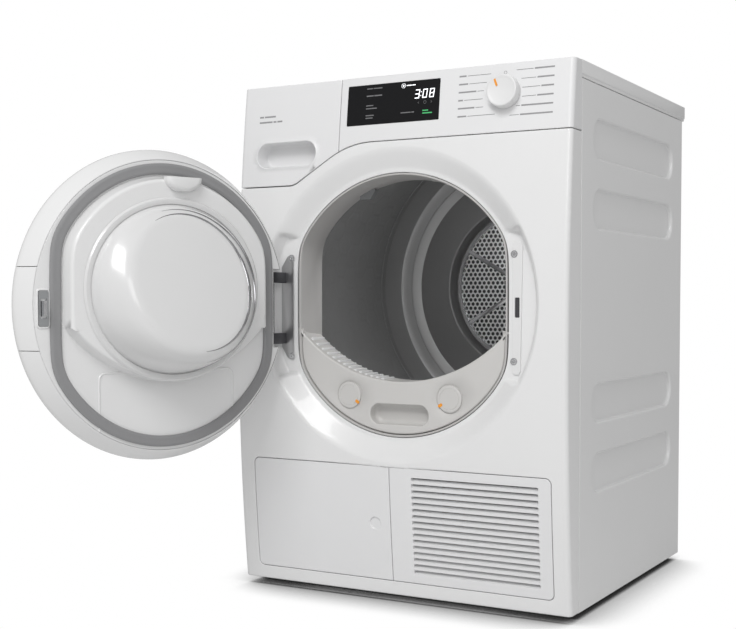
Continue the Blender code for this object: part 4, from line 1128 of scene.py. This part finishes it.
def door_outer_shell():
    outer = [
        (0.0, -0.316), (0.05, -0.3158), (0.1, -0.3153), (0.14, -0.3145), (0.17, -0.3134),
        (0.195, -0.312),
    ]
    outer += blend((0.212, -0.3104), (0.237, -0.3075), (DOOR_RADIUS, -0.297), 10)
    outer += blend((0.2379, -0.293), (0.2372, -0.29), (0.234, -0.285), 4)
    outer += [(0.223, PANEL_Y - 0.0012), (0.222, PANEL_Y)]
    inner = [
        (0.2208, PANEL_Y), (0.232, -0.288), (0.2352, -0.2966), (0.229, -0.303), (0.21, -0.3078),
        (0.169, -0.3108), (0.1, -0.3127), (0.0, -0.3134),
    ]
    shell = turned("door_outer_shell", outer + inner, DOOR_WHITE, (0, DOOR_Z), 144, False)
    cut(shell, block("notch", (-0.26, -0.2), (-0.32, -0.25), NOTCH, DOOR_WHITE))
    for z in (0.5366, 0.4165):
        height = (z - 0.0005, z + 0.0005)
        cut(shell, block("seam", (0.185, 0.26), (-0.296, -0.25), height, DOOR_WHITE))
    shell.name = "door_outer_shell"
    shell.data.set_sharp_from_angle(angle=radians(35))
    install(swing(shell), "door", "white_enamel", "door_outer_shell")


def notched_circle(radius, notch_u, low, high, steps=128):
    """A circle about the door's centre with a notch at its hinge side."""
    points = []
    notched = False
    for u, v in circle(0, DOOR_Z, radius, steps):
        if u > 0 or not low < v < high:
            points.append((u, v))
        elif not notched:
            upper, lower = [-sqrt(radius**2 - (z - DOOR_Z) ** 2) for z in (high, low)]
            points += [(upper, high), (notch_u, high), (notch_u, low), (lower, low)]
            notched = True
    return points


def door_inner_panel():
    def base(u, v, w):
        return (u, PANEL_Y - w, v)

    outline = notched_circle(0.2204, -0.1992, *NOTCH)
    raised = crescent(0.1945, 0.175, 0.2244, DOOR_Z, False, 0.5924)
    top = PANEL_Y - RAISED_Y
    step = [(0.004, 0.0), (0.0015, -0.0006), (0.0, -0.003), (-0.003, top + 0.006), (-0.0042, top + 0.0022)]
    step += [(-0.0062, top + 0.0006), (-0.009, top)]
    border = rim(outline, edge(0.001, 0.003))
    panel = cover("panel", base, DOOR_WHITE, border, [(rim(raised, step), True)], (), (), 0.0016)
    bake(panel)
    wall = block("wall", (-0.1992, -0.1978), (-0.311, -0.2665), (0.4108, 0.5402), DOOR_WHITE)
    pieces = [panel, wall]
    for z in ((0.41, 0.4112), (0.5398, 0.541)):
        pieces.append(block("end", (-0.214, -0.198), (-0.304, -0.27), z, DOOR_WHITE))
    for side in (-1, 1):
        corner = blend((side * 0.118, 0.369), (side * 0.118, 0.381), (side * 0.106, 0.381), 6)
        path = [(side * 0.118, 0.295), *corner, (side * 0.078, 0.381)]
        pieces.append(tube("line", [(u, PANEL_Y, v) for u, v in path], 0.0016, DOOR_WHITE))
    latch = rectangle(0.1972, 0.214, 0.4508, 0.5032, 0.003, 4)
    loops = rim(latch, [(0.0022, 0.0), (0.0014, -0.0016), (0.0, -0.0018), (0.0, 0.0)])
    pieces.append(loft("latch_frame", [[base(*point) for point in loop] for loop in loops], DOOR_WHITE))
    install(swing(gather("door_inner_panel", pieces)), "door", "white_plastic", "door_inner_panel")


def oval(radius_x, radius_z, z, y, lean, steps=192):
    """A ring of the slanted bowl; lean tips it so that its lower side reaches deeper."""
    points = []
    for i in range(steps):
        turn = 2 * pi * i / steps
        u, v = radius_x * cos(turn), radius_z * sin(turn)
        points.append((u, y - lean * v, z + v))
    return points


BOWL = [  # half-width, half-height, height of the centre, depth, and lean of each ring
    (0.1425, 0.1285, 0.505, RAISED_Y + 0.0003, 0.0), (0.141, 0.1272, 0.505, -0.244, 0.0),
    (0.14, 0.1262, 0.5052, -0.242, 0.01), (0.1368, 0.1243, 0.5058, -0.233, 0.05),
    (0.133, 0.1218, 0.5066, -0.225, 0.09), (0.127, 0.119, 0.508, -0.217, 0.14),
    (0.12, 0.1148, 0.51, -0.2085, 0.21), (0.111, 0.11, 0.512, -0.201, 0.27),
    (0.104, 0.105, 0.5145, -0.1972, 0.295), (0.0975, 0.1, 0.5165, -0.1954, 0.3),
    (0.09, 0.094, 0.517, -0.1948, 0.3),
]


def bead(first, last, section, thickness, steps=160):
    """A tapering chrome bead that follows one oval of the bowl between two angles. Its reflections are
    painted highlight and dark lines, in place of the refraction at the bowl's clear edge.
    """
    radius_x, radius_z, z, y, lean = section
    rings = []
    for i in range(steps + 1):
        turn = radians(first + (last - first) * i / steps)
        size = thickness * (0.12 + 0.88 * sin(pi * i / steps))
        c, s = cos(turn), sin(turn)
        ring = []
        for k in range(10):
            a = 2 * pi * k / 10
            out = size * cos(a)
            u, v = (radius_x + out) * c, (radius_z + out) * s
            ring.append((u, y - lean * radius_z * s + size * sin(a), z + v))
        rings.append(ring)
    return loft("bead", rings, REFRACTION_LINES_CHROME, start=True, end=True, sharp=80)


def door_bulge():
    shell = loft("shell", [oval(*section) for section in BOWL], BULGE_WHITE, end=True)
    rim_line = (0.1, 0.1022, 0.5155, -0.1962, 0.298)
    # Beads along the bowl's right side: painted highlight and dark refraction lines of its clear edge.
    beads = [
        bead(62, 268, rim_line, 0.0028), bead(75, 262, BOWL[6], 0.002),
        bead(95, 250, BOWL[4], 0.0012), bead(200, 262, BOWL[3], 0.0016),
    ]
    radius_x, radius_z, z, y, _ = BOWL[0]
    rings = []
    for grow, rise in (
        (0.0, 0.0), (0.0, 0.0022), (0.003, 0.0034), (0.0075, 0.003), (0.01, 0.0008), (0.0105, 0.0),
    ):
        rings.append(oval(radius_x + grow, radius_z + grow, z, y + rise, 0.0))
    collar = loft("collar", rings, BULGE_WHITE)
    whole = gather("door_bulge", [shell, collar, *beads])
    install(swing(whole), "door", "pale_plastic", "door_bulge")


def door_seal():
    sections = []
    radius, half = 0.2154, 0.1957
    inner_radius, inner_half = 0.1987, 0.1785
    low, top = PANEL_Y + 0.0003, -0.2615
    profile = [
        (0.0, low), (0.0, top - 0.0018), (0.12, top - 0.0003), (0.3, top), (0.5, top - 0.0008),
        (0.7, top), (0.88, top - 0.0003), (1.0, top - 0.0018), (1.0, low),
    ]
    for share, y in profile:
        r = radius + (inner_radius - radius) * share
        h = half + (inner_half - half) * share
        sections.append([(u, y, v) for u, v in cut_circle(r, h, DOOR_Z, 160)])
    seal = loft("door_seal", sections, SEAL_GREY, closed=True)
    install(swing(seal), "door", "seal_rubber", "door_seal")


def hood_outline(steps=28):
    """A flat top with a half oval under it."""
    turns = [pi * i / steps for i in range(steps + 1)]
    return [(-0.031 * cos(turn), -0.0215 * sin(turn) ** 0.8) for turn in turns]


def door_details():
    """The hood at the top of the inner panel, and the hinge arm."""
    rings = []
    for size, rise in ((1.0, -0.001), (1.0, 0.006), (0.96, 0.0095), (0.86, 0.012), (0.7, 0.0135)):
        y = RAISED_Y + rise
        rings.append([(-0.013 + u * size, y, 0.674 + v * size) for u, v in hood_outline()])
    cap = loft("door_hood", rings, DOOR_WHITE, start=True, end=True, sharp=60)
    install(swing(cap), "door", "white_plastic")
    axle = circle(HINGE.x, HINGE.y, 0.0075, 48)
    knuckle = prism("knuckle", axle, 0.434, 0.517, BRIGHT_STEEL, "z", 0.0008)
    depth = (HINGE.y, HINGE.y + 0.007)
    leaf = block("leaf", (HINGE.x, -0.165), depth, (0.44, 0.511), BRIGHT_STEEL, 0.0008)
    whole = gather("hinge_arm", [bake(knuckle), bake(leaf)])
    install(swing(whole), "door", "bright_steel", "hinge_arm")


def wear(node, look, width=0.0008):
    """A carried-over node: its own mesh, with worked edges and a finish."""
    obj = frame["nodes"][node]
    obj.data.materials.clear()
    obj.data.materials.append(look)
    if width:
        bevel(obj, width, 2, 40)


def carried_over():
    for node in ("mains_inlet", "base_tray", "control_board", "door_lock", "fan_housing", "tensioner_roller"):
        wear(node, DARK_PLASTIC)
    for node in ("back_panel", "rear_duct_cover", "rear_bulkhead", "latch_housing"):
        wear(node, ZINC, 0.0003)
    for row in ("front", "rear"):
        for side in ("left", "right"):
            wear(f"foot_{row}_{side}", BLACK_RUBBER)
    for i in (1, 2, 3):
        wear(f"drum_lifter_{i}", PALE_PLASTIC, 0.003)
    wear("condensate_container", PALE_PLASTIC)
    wear("filter_cassette", PALE_PLASTIC, 0.0003)
    wear("drum_lamp_lens", LENS)
    wear("drum_front_seal", FELT)
    wear("drum_bearing", BRIGHT_STEEL)
    wear("motor", MOTOR_METAL)
    wear("motor_pulley", BRIGHT_STEEL, 0.0004)
    wear("drive_belt", BLACK_RUBBER, 0.0003)
    wear("fan_wheel", DARK_PLASTIC, 0.0002)
    wear("tensioner_arm", ZINC)
    wear("compressor", CAST_BLACK)
    wear("evaporator", ALUMINIUM, 0.0003)
    wear("condenser", COPPER, 0.0003)
    wear("plinth_filter", FOAM)
    wear("latch_hook", BRIGHT_STEEL, 0.0003)


# ---------------------------------------------------------------- stage


def lamp(name, location, target, power, size):
    """A square area light that points at a target."""
    data = bpy.data.lights.new(name, "AREA")
    data.energy = power
    data.shape = "RECTANGLE"
    data.size = size
    data.size_y = size
    obj = bpy.data.objects.new(name, data)
    obj.location = location
    aim = Vector(target) - Vector(location)
    obj.rotation_euler = aim.to_track_quat("-Z", "Y").to_euler()
    bpy.context.scene.collection.objects.link(obj)


def world():
    """Plain white for the camera, a weaker white for the light that falls on the dryer."""
    scene = bpy.context.scene
    scene.world = bpy.data.worlds.new("studio")
    scene.world.use_nodes = True
    nodes, links = scene.world.node_tree.nodes, scene.world.node_tree.links
    nodes.clear()
    path = nodes.new("ShaderNodeLightPath")
    seen = nodes.new("ShaderNodeBackground")
    seen.inputs["Strength"].default_value = 1.0
    felt = nodes.new("ShaderNodeBackground")
    felt.inputs["Strength"].default_value = 0.48
    mix = nodes.new("ShaderNodeMixShader")
    out = nodes.new("ShaderNodeOutputWorld")
    for background in (seen, felt):
        background.inputs["Color"].default_value = (1, 1, 1, 1)
    links.new(path.outputs["Is Camera Ray"], mix.inputs[0])
    links.new(felt.outputs[0], mix.inputs[1])
    links.new(seen.outputs[0], mix.inputs[2])
    links.new(mix.outputs[0], out.inputs["Surface"])


def floor():
    """A white floor that shows only the dryer's soft shadow, and that shadow is painted: the camera sees an
    emission whose strength follows ambient occlusion.
    """
    mesh = bpy.data.meshes.new("floor")
    mesh.from_pydata([(-6, -6, 0), (6, -6, 0), (6, 6, 0), (-6, 6, 0)], [], [(0, 1, 2, 3)])
    obj = bpy.data.objects.new("floor", mesh)
    bpy.context.scene.collection.objects.link(obj)
    look = bpy.data.materials.new("floor white")
    look.use_nodes = True
    nodes, links = look.node_tree.nodes, look.node_tree.links
    nodes.clear()
    path = nodes.new("ShaderNodeLightPath")
    # Painted shadow: ambient occlusion dims the floor's emission near the dryer, for camera rays only.
    occlusion = nodes.new("ShaderNodeAmbientOcclusion")
    occlusion.inputs["Distance"].default_value = 0.14
    curve = nodes.new("ShaderNodeMapRange")
    curve.inputs["From Min"].default_value = 0.25
    curve.inputs["From Max"].default_value = 0.8
    curve.inputs["To Min"].default_value = 0.02
    curve.inputs["To Max"].default_value = 1.0
    painted_shadow_glow = nodes.new("ShaderNodeEmission")
    diffuse = nodes.new("ShaderNodeBsdfDiffuse")
    diffuse.inputs["Color"].default_value = (0.8, 0.8, 0.8, 1)
    mix = nodes.new("ShaderNodeMixShader")
    out = nodes.new("ShaderNodeOutputMaterial")
    links.new(occlusion.outputs["AO"], curve.inputs["Value"])
    links.new(curve.outputs["Result"], painted_shadow_glow.inputs["Strength"])
    links.new(path.outputs["Is Camera Ray"], mix.inputs[0])
    links.new(diffuse.outputs[0], mix.inputs[1])
    links.new(painted_shadow_glow.outputs[0], mix.inputs[2])
    links.new(mix.outputs[0], out.inputs["Surface"])
    mesh.materials.append(look)


def camera():
    data = bpy.data.cameras.new("camera")
    data.lens = 61.33
    data.sensor_width = 36
    data.shift_x = -0.005
    data.shift_y = 0.0472
    obj = bpy.data.objects.new("camera", data)
    obj.location = (0.9615, -2.0314, 0.4902)
    obj.rotation_euler = (radians(90 - 2.282), 0, radians(29.71))
    bpy.context.scene.collection.objects.link(obj)
    bpy.context.scene.camera = obj


def stage():
    scene = bpy.context.scene
    scene.view_settings.view_transform = "Standard"
    scene.view_settings.look = "None"
    world()
    floor()
    lamp("key", (0.5, -2.9, 2.9), (0, -0.2, 0.45), 58, 1.4)
    lamp("door", (1.0, -1.7, 1.2), (-0.42, -0.5, 0.48), 3.5, 0.6)
    lamp("drum", (0.0, -0.15, 0.6), (-0.1, 0.2, 0.45), 0.8, 0.12)
    camera()


front_panel()
side_panels()
lid()
service_flap()
grille_panel()
display()
control_fascia()
drawer_front()
selector_knob()
front_bulkhead()
lint_filter()
filter_locks()
strike_plate()
hinge_bracket()
screws()
drum_shell()
drum_rear_wall()
drum_air_grille()
door_outer_shell()
door_inner_panel()
door_bulge()
door_seal()
door_details()
carried_over()
stage()
